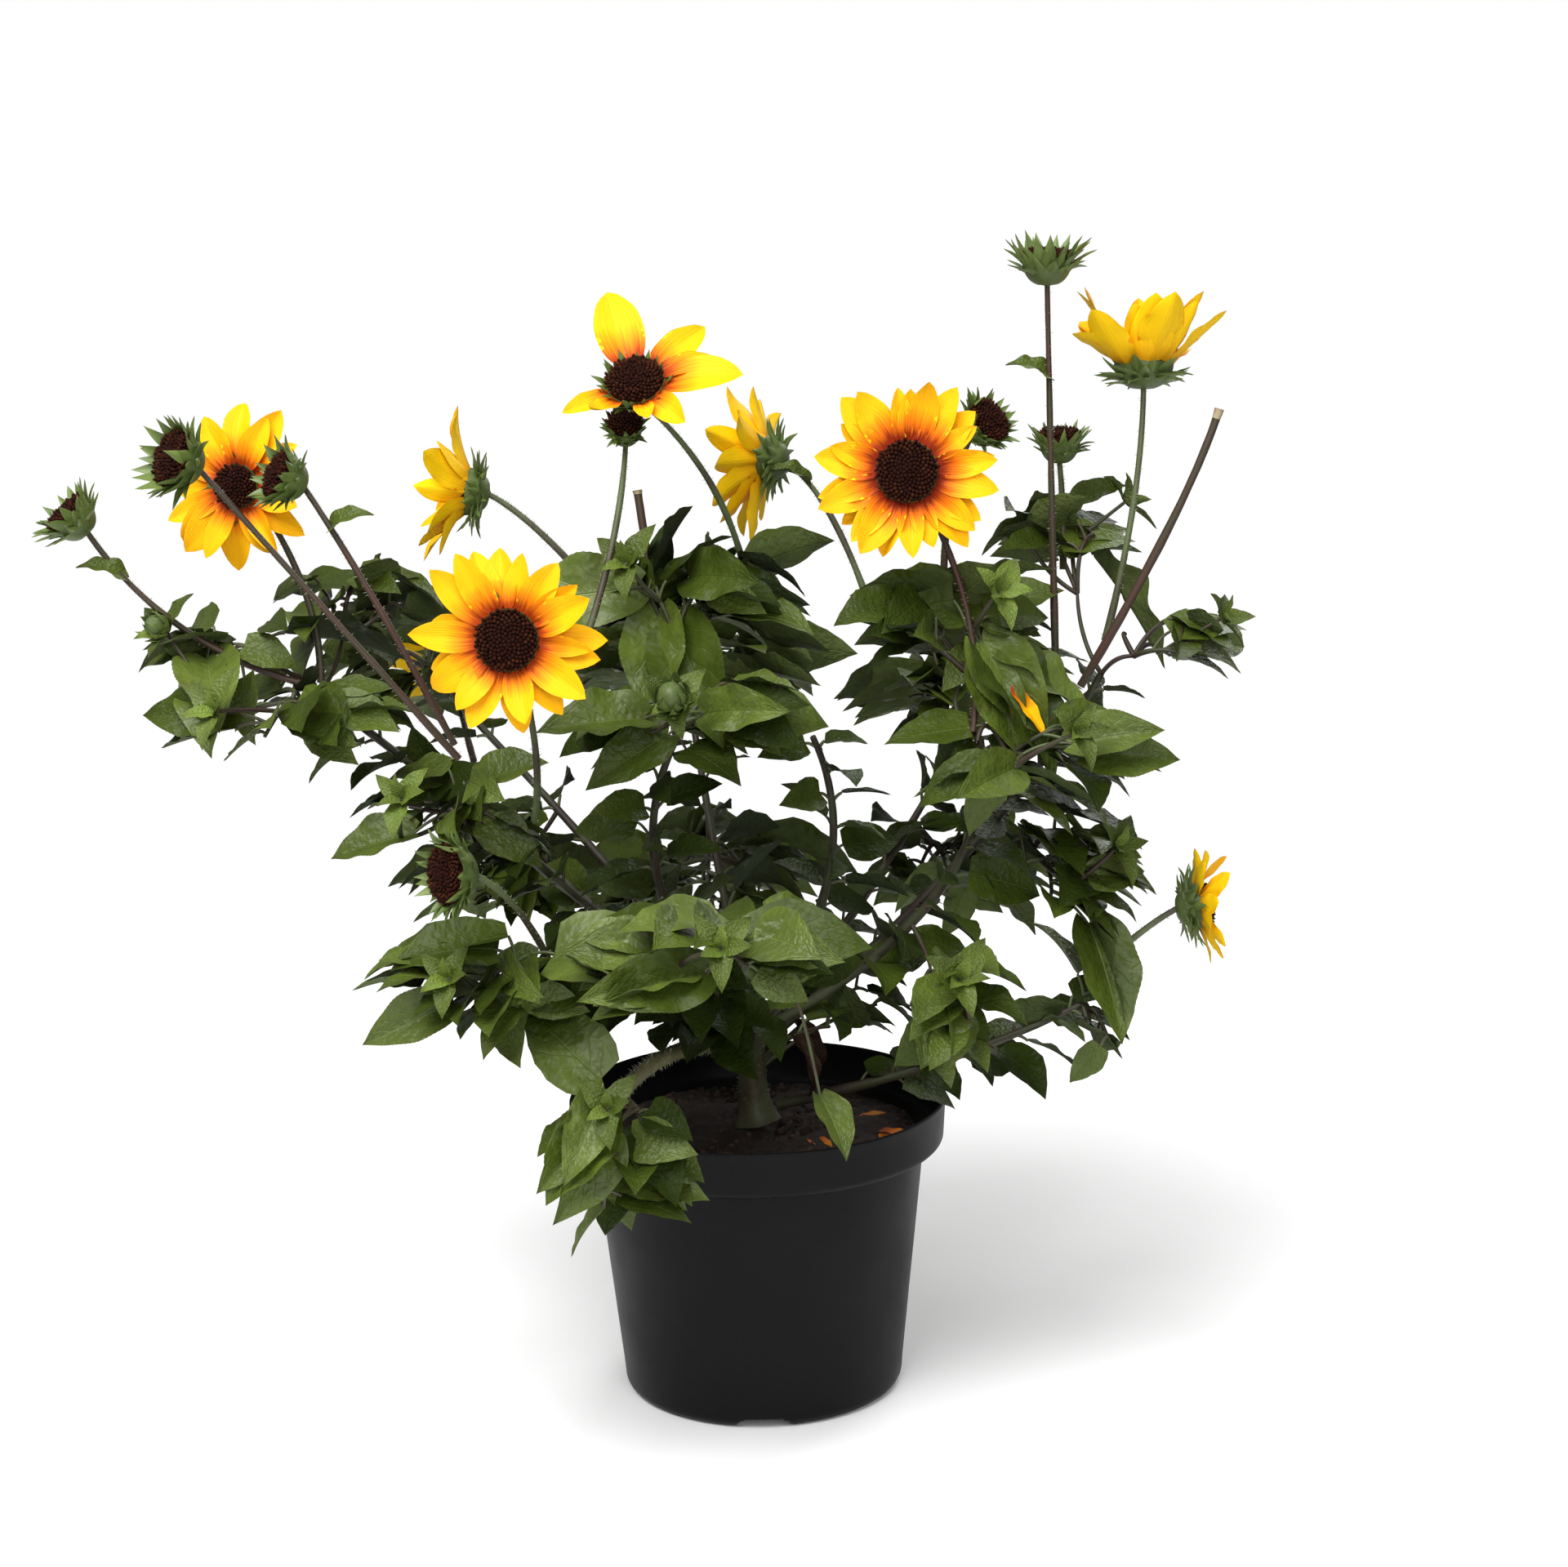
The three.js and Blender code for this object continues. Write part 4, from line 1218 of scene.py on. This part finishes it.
class SUNFLOWER_OT_stalks(bpy.types.Operator):
    """Grow the flower stalks: the older ones dark and bare, the younger ones green"""

    bl_idname = "sunflower.stalks"
    bl_label = "Flower stalks"

    green_stalks = (
        "bloom_top_right", "bloom_low_right", "seedhead_low_left", "seedhead_right_back",
        "bloom_front_left", "bloom_left_back", "bloom_back", "seedhead_top", "bloom_top",
    )

    def execute(self, context):
        rings, sides = 40, 9
        green = [n for n in FLOWERS if n in self.green_stalks]
        dark = [n for n in FLOWERS if n not in self.green_stalks]
        groups = (
            ("green_stalks", green, (0.085, 0.110, 0.042), (0.045, 0.034, 0.020)),
            ("dark_stalks", dark, (0.052, 0.021, 0.014), (0.034, 0.029, 0.013)),
        )
        radii = metres([2.1, 1.5])
        for name, members, colour, other in groups:
            routes = metres([FLOWERS[n]["stalk"] for n in members])
            sheaf = Sheaf()
            sheaf.add_limbs(routes, radii, sides, rings, 0.05, 5)
            sheaf.add_hairs(routes, radii, 170, 1.5 * MM, 33, 1)
            if name == "dark_stalks":
                self.cut_ends(sheaf, rings, sides)
            finish = plain_finish(f"{name}_skin", colour, other, 0.5, 24.0, 0.0004)
            pale = plain_finish(f"{name}_scar", (0.33, 0.27, 0.17), (0.20, 0.14, 0.08), 0.7, 200.0, 0.0003)
            finishes = [finish, hair_finish(f"{name}_hair"), pale]
            sheaf.build(name, finishes, ["bare_stalk"] if name == "dark_stalks" else [], "stalk")
        return {"FINISHED"}

    def cut_ends(self, sheaf, rings, sides):
        """The stalk whose flower has dropped, and a stem that was cut off, both pale at the end."""
        centre, half = mass_box("foliage_top")
        foot = centre + half * [-0.2, 1.5, 0.0]
        cut_stem = foot + np.outer([0, 0.5, 1], [-6 * MM, 8 * MM, 45 * MM])
        routes = np.array([metres(BARE_STALK), cut_stem])
        swelling = 1 + 0.35 * np.linspace(0, 1, rings) ** 20
        pale = np.concatenate([
            np.repeat(np.arange(rings - 1) >= rings - 3, sides),
            np.zeros(sides, bool), np.ones(sides, bool),
        ])
        radii = metres([[2.5, 2.0], [2.4, 2.2]])
        sheaf.add_limbs(routes, radii, sides, rings, 0.05, 6, np.where(pale, 2, 0), swelling)


class SUNFLOWER_OT_leaves(bpy.types.Operator):
    """Grow twigs, leaf stalks and leaves through every mass of foliage"""

    bl_idname = "sunflower.leaves"
    bl_label = "Leaves"

    def execute(self, context):
        settings = context.scene.sunflower_leaves
        plan = Plan(settings)
        twigs = Sheaf()
        twigs.add_limbs(plan.twigs, metres([1.6, 1.0]), 7, 14, 0.05, 8)
        stalks = np.concatenate([plan.petioles, plan.large_stalks])
        twigs.add_limbs(stalks, metres([1.1, 0.85]), 6, 9, slots=1)
        skin = plain_finish("twig_skin", (0.036, 0.040, 0.016), (0.032, 0.015, 0.011), 0.55, 35.0, 0.0004)
        green = plain_finish(
            "leaf_stalk_skin", (0.066, 0.090, 0.030), (0.050, 0.034, 0.020), 0.5, 35.0, 0.0003,
        )
        twigs.build("twigs", [skin, green], [], "bough")

        common = Blade(11, 2, leaf_outline, lobe=0.14, tooth=0.02)
        broad = Blade(47, 6, leaf_outline, lobe=0.13, tooth=0.009)
        for tone, (colour, vein, gloss) in LEAF_TONES.items():
            sheaf = Sheaf()
            for blade, leaves in ((common, plan.leaves), (common, plan.young), (broad, plan.large)):
                chosen = leaves["tone"] == tone
                part = {key: values[chosen] for key, values in leaves.items() if key != "tone"}
                if chosen.any():
                    copies = blade.grow(thickness=settings.thickness, **part)
                    sheaf.add(copies, blade.faces, blade.places, blade.slots)
            pale = [c * 0.9 + 0.018 for c in colour]
            finishes = [
                leaf_finish(f"leaf_{tone}_top", colour, vein, gloss, 0.4, TOP_MIDRIB),
                leaf_finish(f"leaf_{tone}_under", pale, vein, gloss * 0.5, 0.65, UNDER_MIDRIB),
            ]
            sheaf.build(f"leaves_{tone}", finishes, FOLIAGE, "leaf")
        return {"FINISHED"}


class SUNFLOWER_OT_heads(bpy.types.Operator):
    """Build the flower heads: calyx and bracts, petals and discs of florets"""

    bl_idname = "sunflower.heads"
    bl_label = "Flower heads"

    def execute(self, context):
        settings = context.scene.sunflower_flowers
        self.draw = np.random.default_rng(settings.seed)
        self.calyxes, self.discs = Sheaf(), Sheaf()
        self.petals = {"gold": Sheaf(), "flame": Sheaf()}
        self.blade = Blade(11, 4, petal_outline)
        self.bract = Blade(7, 2, bract_outline)
        for flower in FLOWERS.values():
            self.head(settings, flower)
        for name, radius in BUDS.items():
            place, facing = shoot(name)
            self.bud(place, self.axes(facing), radius * MM)
        self.fallen(Plan(context.scene.sunflower_leaves))
        nodes = list(FLOWERS)
        faded = petal_finish(
            "petal_faded", (0.30, 0.060, 0.006), (0.50, 0.13, 0.006), (0.62, 0.21, 0.008), 0.4,
        )
        back = petal_finish(
            "petal_back", (0.80, 0.38, 0.005), (0.88, 0.49, 0.004), (0.90, 0.55, 0.003), 0.3,
        )
        gold = petal_finish(
            "petal_gold", (0.36, 0.040, 0.002), (0.80, 0.21, 0.002), (0.88, 0.43, 0.002), 0.30,
        )
        flame = petal_finish(
            "petal_flame", (0.24, 0.018, 0.002), (0.76, 0.16, 0.002), (0.88, 0.42, 0.002), 0.34,
        )
        blooms = [n for n in nodes if n.startswith("bloom")]
        self.petals["gold"].build("petals_gold", [gold, back, faded], blooms, "petal")
        flaming = ["bloom_right", "bloom_behind_left"]
        self.petals["flame"].build("petals_flame", [flame, back], flaming, "petal")
        cup = plain_finish("calyx_skin", (0.080, 0.115, 0.028), (0.058, 0.085, 0.022), 0.5, 60.0, 0.0004)
        scale = plain_finish("bract_skin", (0.125, 0.175, 0.038), (0.088, 0.132, 0.030), 0.45, 60.0, 0.0003)
        self.calyxes.build("calyxes", [cup, scale], nodes, "calyx")
        dark = plain_finish(
            "floret_dark", (0.013, 0.0035, 0.0022), (0.026, 0.006, 0.003), 0.85, 400.0, 0.0002, 0.08,
        )
        rust = plain_finish(
            "floret_rust", (0.046, 0.012, 0.004), (0.020, 0.005, 0.003), 0.8, 400.0, 0.0002, 0.08,
        )
        self.discs.build("disc_florets", [dark, rust], nodes, "calyx")
        return {"FINISHED"}

    def head(self, settings, flower):
        tip = metres(flower["stalk"][2])
        axes = self.axes(flower["facing"])
        disc = flower["disc"] * MM
        self.calyx(flower, tip, axes, disc)
        self.florets(settings, tip, axes, disc)
        if "petal" in flower:
            self.rays(settings, flower, tip, axes, disc)

    def spokes(self, number, start, noise):
        """Seeded angles all round a head."""
        turn = (np.arange(number) + start) * 2 * math.pi / number
        return turn + self.draw.normal(size=number) * noise

    def axes(self, facing):
        """Across, up and ahead for a head that looks along facing, as the CAD part stands it."""
        ahead = unit(np.array(facing, float))
        upright = UP - ahead * ahead[2]
        up = unit(upright if np.linalg.norm(upright) > 0.2 else -FRONT)
        side = np.cross(up, ahead)
        return np.stack([side, np.cross(ahead, side), ahead])

    def bud(self, tip, axes, radius):
        """A closed bud: a round heart, wrapped in bracts that bend inwards over it."""
        angle = np.radians(np.linspace(-75, 75, 7))
        heart = np.stack([0.7 * np.cos(angle), 0.75 + 0.75 * np.sin(angle)], -1) * radius
        heart = [[0, 0], *heart, [0, 1.55 * radius]]
        self.calyxes.add(turned(heart, 16) @ axes + tip, tube_faces(len(heart) - 2, 16))
        for number, tilt, scale in ((9, 1.15, 1.2), (9, 0.85, 1.5), (8, 0.55, 1.7)):
            turn = self.spokes(number, tilt, 0.1)
            out = round_z(turn)
            way = out * math.sin(tilt) + HEAD_Z * math.cos(tilt)
            outer = out * math.cos(tilt) - HEAD_Z * math.sin(tilt)
            length = radius * scale * self.draw.uniform(0.85, 1.15, number)
            copies = self.bract.grow(
                (out * radius * 0.45) @ axes + tip, way @ axes, outer @ axes, length, length * 0.45,
                bend=self.draw.uniform(0.7, 1.4, number), fold=-0.2,
                twist=self.draw.normal(size=number) * 0.15, ripple=0.01,
                thickness=PETAL_THICKNESS, phase=self.draw.uniform(0, 6, number),
            )
            self.calyxes.add(copies, self.bract.faces, self.bract.places, 1)

    def fallen(self, plan):
        """Petals that have dropped: faded ones on the soil, and a fresh one on a leaf."""
        draw = self.draw
        number = 8
        bearing, distance = draw.uniform(-1.3, 0.9, number), draw.uniform(20, 88, number) * MM
        spots = np.stack([distance * np.cos(bearing), distance * np.sin(bearing)], -1)
        turn = draw.uniform(0, 2 * math.pi, number)
        length = draw.uniform(15, 24, number) * MM
        ahead = np.stack([np.cos(turn), np.sin(turn), 0.05 + 0 * turn], -1)
        base = np.concatenate([spots, np.full((number, 1), SOIL_TOP - 4 * MM)], 1)
        copies = self.blade.grow(
            base, unit(ahead), np.tile(UP, (number, 1)), length, length * 0.45,
            bend=draw.uniform(0.1, 0.4, number), fold=draw.uniform(-0.2, 0.5, number),
            twist=draw.normal(size=number) * 0.3, ripple=0.02,
            thickness=PETAL_THICKNESS, phase=draw.uniform(0, 6, number),
        )
        self.petals["gold"].add(copies, self.blade.faces, self.blade.places, 2)
        large, hearts = plan.large, plan.hearts(plan.large)
        centre, half = mass_box("foliage_right")
        k = np.argmin(np.linalg.norm(hearts - centre - half * [0.2, -0.4, 0.7], axis=1))
        ahead, face = large["ahead"][k], large["face"][k]
        base = hearts[k] - ahead * 0.2 * large["length"][k] + face * 4 * MM
        length = np.array([34 * MM])
        copies = self.blade.grow(
            base[None], ahead[None], face[None], length, length * 0.34,
            bend=0.1, fold=0.3, twist=0.2, ripple=0.02,
            thickness=PETAL_THICKNESS, phase=1.0,
        )
        self.petals["gold"].add(copies, self.blade.faces, self.blade.places, self.blade.slots)

    def calyx(self, flower, tip, axes, disc):
        """A cup from the stalk's end out to the disc, and three rings of bracts round it."""
        draw = self.draw
        depth = CALYX_DEPTH
        steps = np.linspace(0, 1, 9)
        radius = 2.4 * MM + (disc + 1 * MM - 2.4 * MM) * np.sin(steps * math.pi / 2) ** 0.7
        height = -1 * MM + (depth + 1 * MM) * (1 - np.cos(steps * math.pi / 2)) ** 0.8
        top = [[disc * 0.9, depth - 1 * MM], [0, depth - 2 * MM]]
        profile = [[0, -2 * MM], *np.stack([radius, height], -1), *top]
        cup = turned(profile, 24)[0] @ axes + tip
        self.calyxes.add(cup[None], tube_faces(len(profile) - 2, 24))
        long = flower.get("bract", 13) * MM
        rings = SEED_HEAD_BRACTS if "count" not in flower or "left" in flower else BLOOM_BRACTS
        for ring, (number, spread, start, scale) in enumerate(rings):
            turn = self.spokes(number, 0.37 * ring, 0.07)
            out = round_z(turn)
            base = out * disc * (0.62 + 0.4 * start)
            base[:, 2] = depth * start * (0.6 if "petal" in flower else 0.85)
            open_ = 1.25 - spread * 0.7 + draw.normal(size=number) * 0.15
            way = out * np.sin(open_)[:, None] + HEAD_Z * np.cos(open_)[:, None]
            face = -out * np.cos(open_)[:, None] + HEAD_Z * np.sin(open_)[:, None]
            length = long * scale * draw.uniform(0.85, 1.15, number)
            copies = self.bract.grow(
                base @ axes + tip, way @ axes, face @ axes, length, length * 0.42,
                bend=draw.uniform(-0.2, 0.8, number), fold=0.3,
                twist=draw.normal(size=number) * 0.2, ripple=0.01,
                thickness=PETAL_THICKNESS, phase=draw.uniform(0, 6, number),
            )
            self.calyxes.add(copies, self.bract.faces, self.bract.places, 1)

    def florets(self, settings, tip, axes, disc):
        """Florets on a sunflower spiral: floret k at radius R sqrt(k/n), a golden turn on from the
        last, standing on a low dome."""
        number = int(settings.florets * (disc / (17 * MM)) ** 1.4)
        k = np.arange(number) + 0.5
        radius = disc * np.sqrt(k / number)
        turn = k * GOLDEN_TURN
        dome = CALYX_DEPTH + 1 * MM + DOME_HEIGHT * (1 - (radius / disc) ** 2)
        at = np.stack([radius * np.cos(turn), radius * np.sin(turn), dome], -1)
        tall = self.draw.uniform(1.4, 2.6, number) * MM * (1 + 0.35 * (radius / disc > 0.62))
        lean = unit(at * [1, 1, 0] / disc * 0.5 + [0, 0, 1])
        rows, sides = 2, 5
        angle = np.linspace(0, 2 * math.pi, sides, endpoint=False)
        size = disc / math.sqrt(number)
        ring = round_z(angle) * size
        foot, head = at[:, None] + ring * 0.8, at[:, None] + ring + (lean * tall[:, None])[:, None]
        ends = np.stack([at - [0, 0, 0.5 * MM], at + lean * (tall * 1.35)[:, None]], 1)
        copies = np.concatenate([foot, head, ends], 1) @ axes + tip
        steps = np.linspace(0, 1, 8)[1:]
        height = CALYX_DEPTH + 1.6 * MM + DOME_HEIGHT * (1 - steps ** 2)
        bed = np.stack([disc * 1.02 * steps, height], -1)[::-1]
        bed = [[0, CALYX_DEPTH - 1 * MM], [disc * 1.02, CALYX_DEPTH], *bed, [0, CALYX_DEPTH + 5 * MM]]
        self.discs.add(turned(bed, 30) @ axes + tip, tube_faces(len(bed) - 2, 30))
        rim = (radius / disc > 0.55) & (self.draw.uniform(size=number) < 0.55)
        faces = tube_faces(rows, sides)
        self.discs.add(copies[~rim], faces)
        self.discs.add(copies[rim], faces, slots=1)

    def rays(self, settings, flower, tip, axes, disc):
        """A ring of petals, every other one a little lower, or the petals that are left, each
        with its own small turns."""
        draw = self.draw
        if "left" in flower:
            bearing, reach = np.array(flower["left"], float).T
            turn, length, broad = np.radians(bearing), reach * MM, 1.05
        else:
            number, broad = flower["count"], 1.0
            turn = self.spokes(number, 0, 0.08)
            length = flower["petal"] * MM * draw.uniform(0.82, 1.14, number)
        number = len(turn)
        out = round_z(turn)
        base = out * disc * 0.9
        base[:, 2] = CALYX_DEPTH * 0.85 - 0.8 * MM * (np.arange(number) % 2)
        loose = 0.2 if flower["lean"] > 20 else 0.13
        lean = math.radians(flower["lean"]) + draw.normal(size=number) * loose
        way = out * np.cos(lean)[:, None] + HEAD_Z * np.sin(lean)[:, None]
        face = HEAD_Z * np.cos(lean)[:, None] - out * np.sin(lean)[:, None]
        copies = self.blade.grow(
            base @ axes + tip, way @ axes, face @ axes, length + disc * 0.1,
            length * settings.petal_width * broad * draw.uniform(0.88, 1.15, number),
            bend=draw.normal(size=number) * 0.28 + 0.1, fold=draw.uniform(0.1, 0.55, number),
            twist=draw.normal(size=number) * 0.25, ripple=draw.uniform(0.004, 0.02, number),
            thickness=PETAL_THICKNESS, phase=draw.uniform(0, 6, number), curl=draw.normal(size=number) * 0.3,
        )
        self.petals[flower["tone"]].add(copies, self.blade.faces, self.blade.places, self.blade.slots)


class SUNFLOWER_OT_stage(bpy.types.Operator):
    """Lay the floor, hang the soft lights and stand the camera"""

    bl_idname = "sunflower.stage"
    bl_label = "Stage"

    def execute(self, context):
        settings = context.scene.sunflower_stage
        scene = context.scene
        reach = 9.0
        mesh = bpy.data.meshes.new("floor")
        corners = [(-reach, -reach, 0), (reach, -reach, 0), (reach, reach, 0), (-reach, reach, 0)]
        mesh.from_pydata(corners, [], [(0, 1, 2, 3)])
        mesh.materials.append(self.floor_finish(settings.floor))
        floor = bpy.data.objects.new("floor", mesh)
        scene.collection.objects.link(floor)
        self.sky(scene)
        lamps = (
            ("softbox", (-0.7, -1.1, 2.3), 1.9, 104),
            ("front", (0.7, -2.8, 1.2), 1.6, 36),
            ("rim", (1.0, 2.0, 1.8), 1.6, 32),
        )
        for name, place, size, power in lamps:
            lamp = bpy.data.lights.new(name, "AREA")
            lamp.size, lamp.energy = size, power
            light = bpy.data.objects.new(name, lamp)
            light.location = place
            towards = Vector((0, 0, 0.35)) - light.location
            light.rotation_euler = towards.to_track_quat("-Z", "Y").to_euler()
            scene.collection.objects.link(light)

        lens = bpy.data.cameras.new("camera")
        lens.lens, lens.sensor_width = 70.1, 36
        camera = bpy.data.objects.new("camera", lens)
        camera.location = (0.0193, -settings.camera_distance, settings.camera_height)
        pitch, roll = 0.2052, -0.0215
        camera.rotation_mode = "QUATERNION"
        level = Euler((math.pi / 2 - pitch, 0, 0)).to_quaternion()
        camera.rotation_quaternion = level @ Quaternion((0, 0, 1), roll)
        scene.collection.objects.link(camera)
        scene.camera = camera
        return {"FINISHED"}

    def floor_finish(self, colour):
        """White paper that fades out into the white backdrop."""
        finish = Finish("pale_floor", colour, 0.8)
        spot = finish.here()
        reach = finish.node("ShaderNodeVectorMath", {"operation": "LENGTH"}, (spot,), "Value")
        finish.feed(finish.shader, {"Alpha": 1 - reach.rise(0.55, 1.5)})
        return finish.material

    def sky(self, scene):
        """A white backdrop to the camera, and a dimmer white light on the plant."""
        world = bpy.data.worlds.new("studio")
        world.use_nodes = True
        tree = world.node_tree
        seen = tree.nodes.new("ShaderNodeLightPath")
        strength = tree.nodes.new("ShaderNodeMapRange")
        strength.inputs["To Min"].default_value, strength.inputs["To Max"].default_value = 0.27, 1.0
        tree.links.new(seen.outputs["Is Camera Ray"], strength.inputs["Value"])
        backdrop = tree.nodes["Background"]
        backdrop.inputs["Color"].default_value = (1, 1, 1, 1)
        tree.links.new(strength.outputs["Result"], backdrop.inputs["Strength"])
        scene.world = world
        scene.view_settings.view_transform = "Standard"


class SUNFLOWER_PT_panel(bpy.types.Panel):
    """The sunflower's pieces, in the order in which they are made"""

    bl_label = "Sunflower"
    bl_idname = "SUNFLOWER_PT_panel"
    bl_space_type = "VIEW_3D"
    bl_region_type = "UI"
    bl_category = "Sunflower"

    def draw(self, context):
        for operator in OPERATORS:
            self.layout.operator(operator.bl_idname)


GROUPS = {
    "sunflower_pot": PotSettings, "sunflower_leaves": LeafSettings,
    "sunflower_flowers": FlowerSettings, "sunflower_stage": StageSettings,
}
OPERATORS = (
    SUNFLOWER_OT_stage, SUNFLOWER_OT_pot, SUNFLOWER_OT_soil, SUNFLOWER_OT_limbs,
    SUNFLOWER_OT_stalks, SUNFLOWER_OT_leaves, SUNFLOWER_OT_heads,
)


def register():
    for group in (*GROUPS.values(), *OPERATORS, SUNFLOWER_PT_panel):
        bpy.utils.register_class(group)
    for name, group in GROUPS.items():
        setattr(bpy.types.Scene, name, bpy.props.PointerProperty(type=group))


def unregister():
    for name in GROUPS:
        delattr(bpy.types.Scene, name)
    for group in (SUNFLOWER_PT_panel, *reversed(OPERATORS), *GROUPS.values()):
        bpy.utils.unregister_class(group)


def main():
    register()
    for operator in OPERATORS:
        family, name = operator.bl_idname.split(".")
        getattr(getattr(bpy.ops, family), name)()


if __name__ == "__main__":
    main()
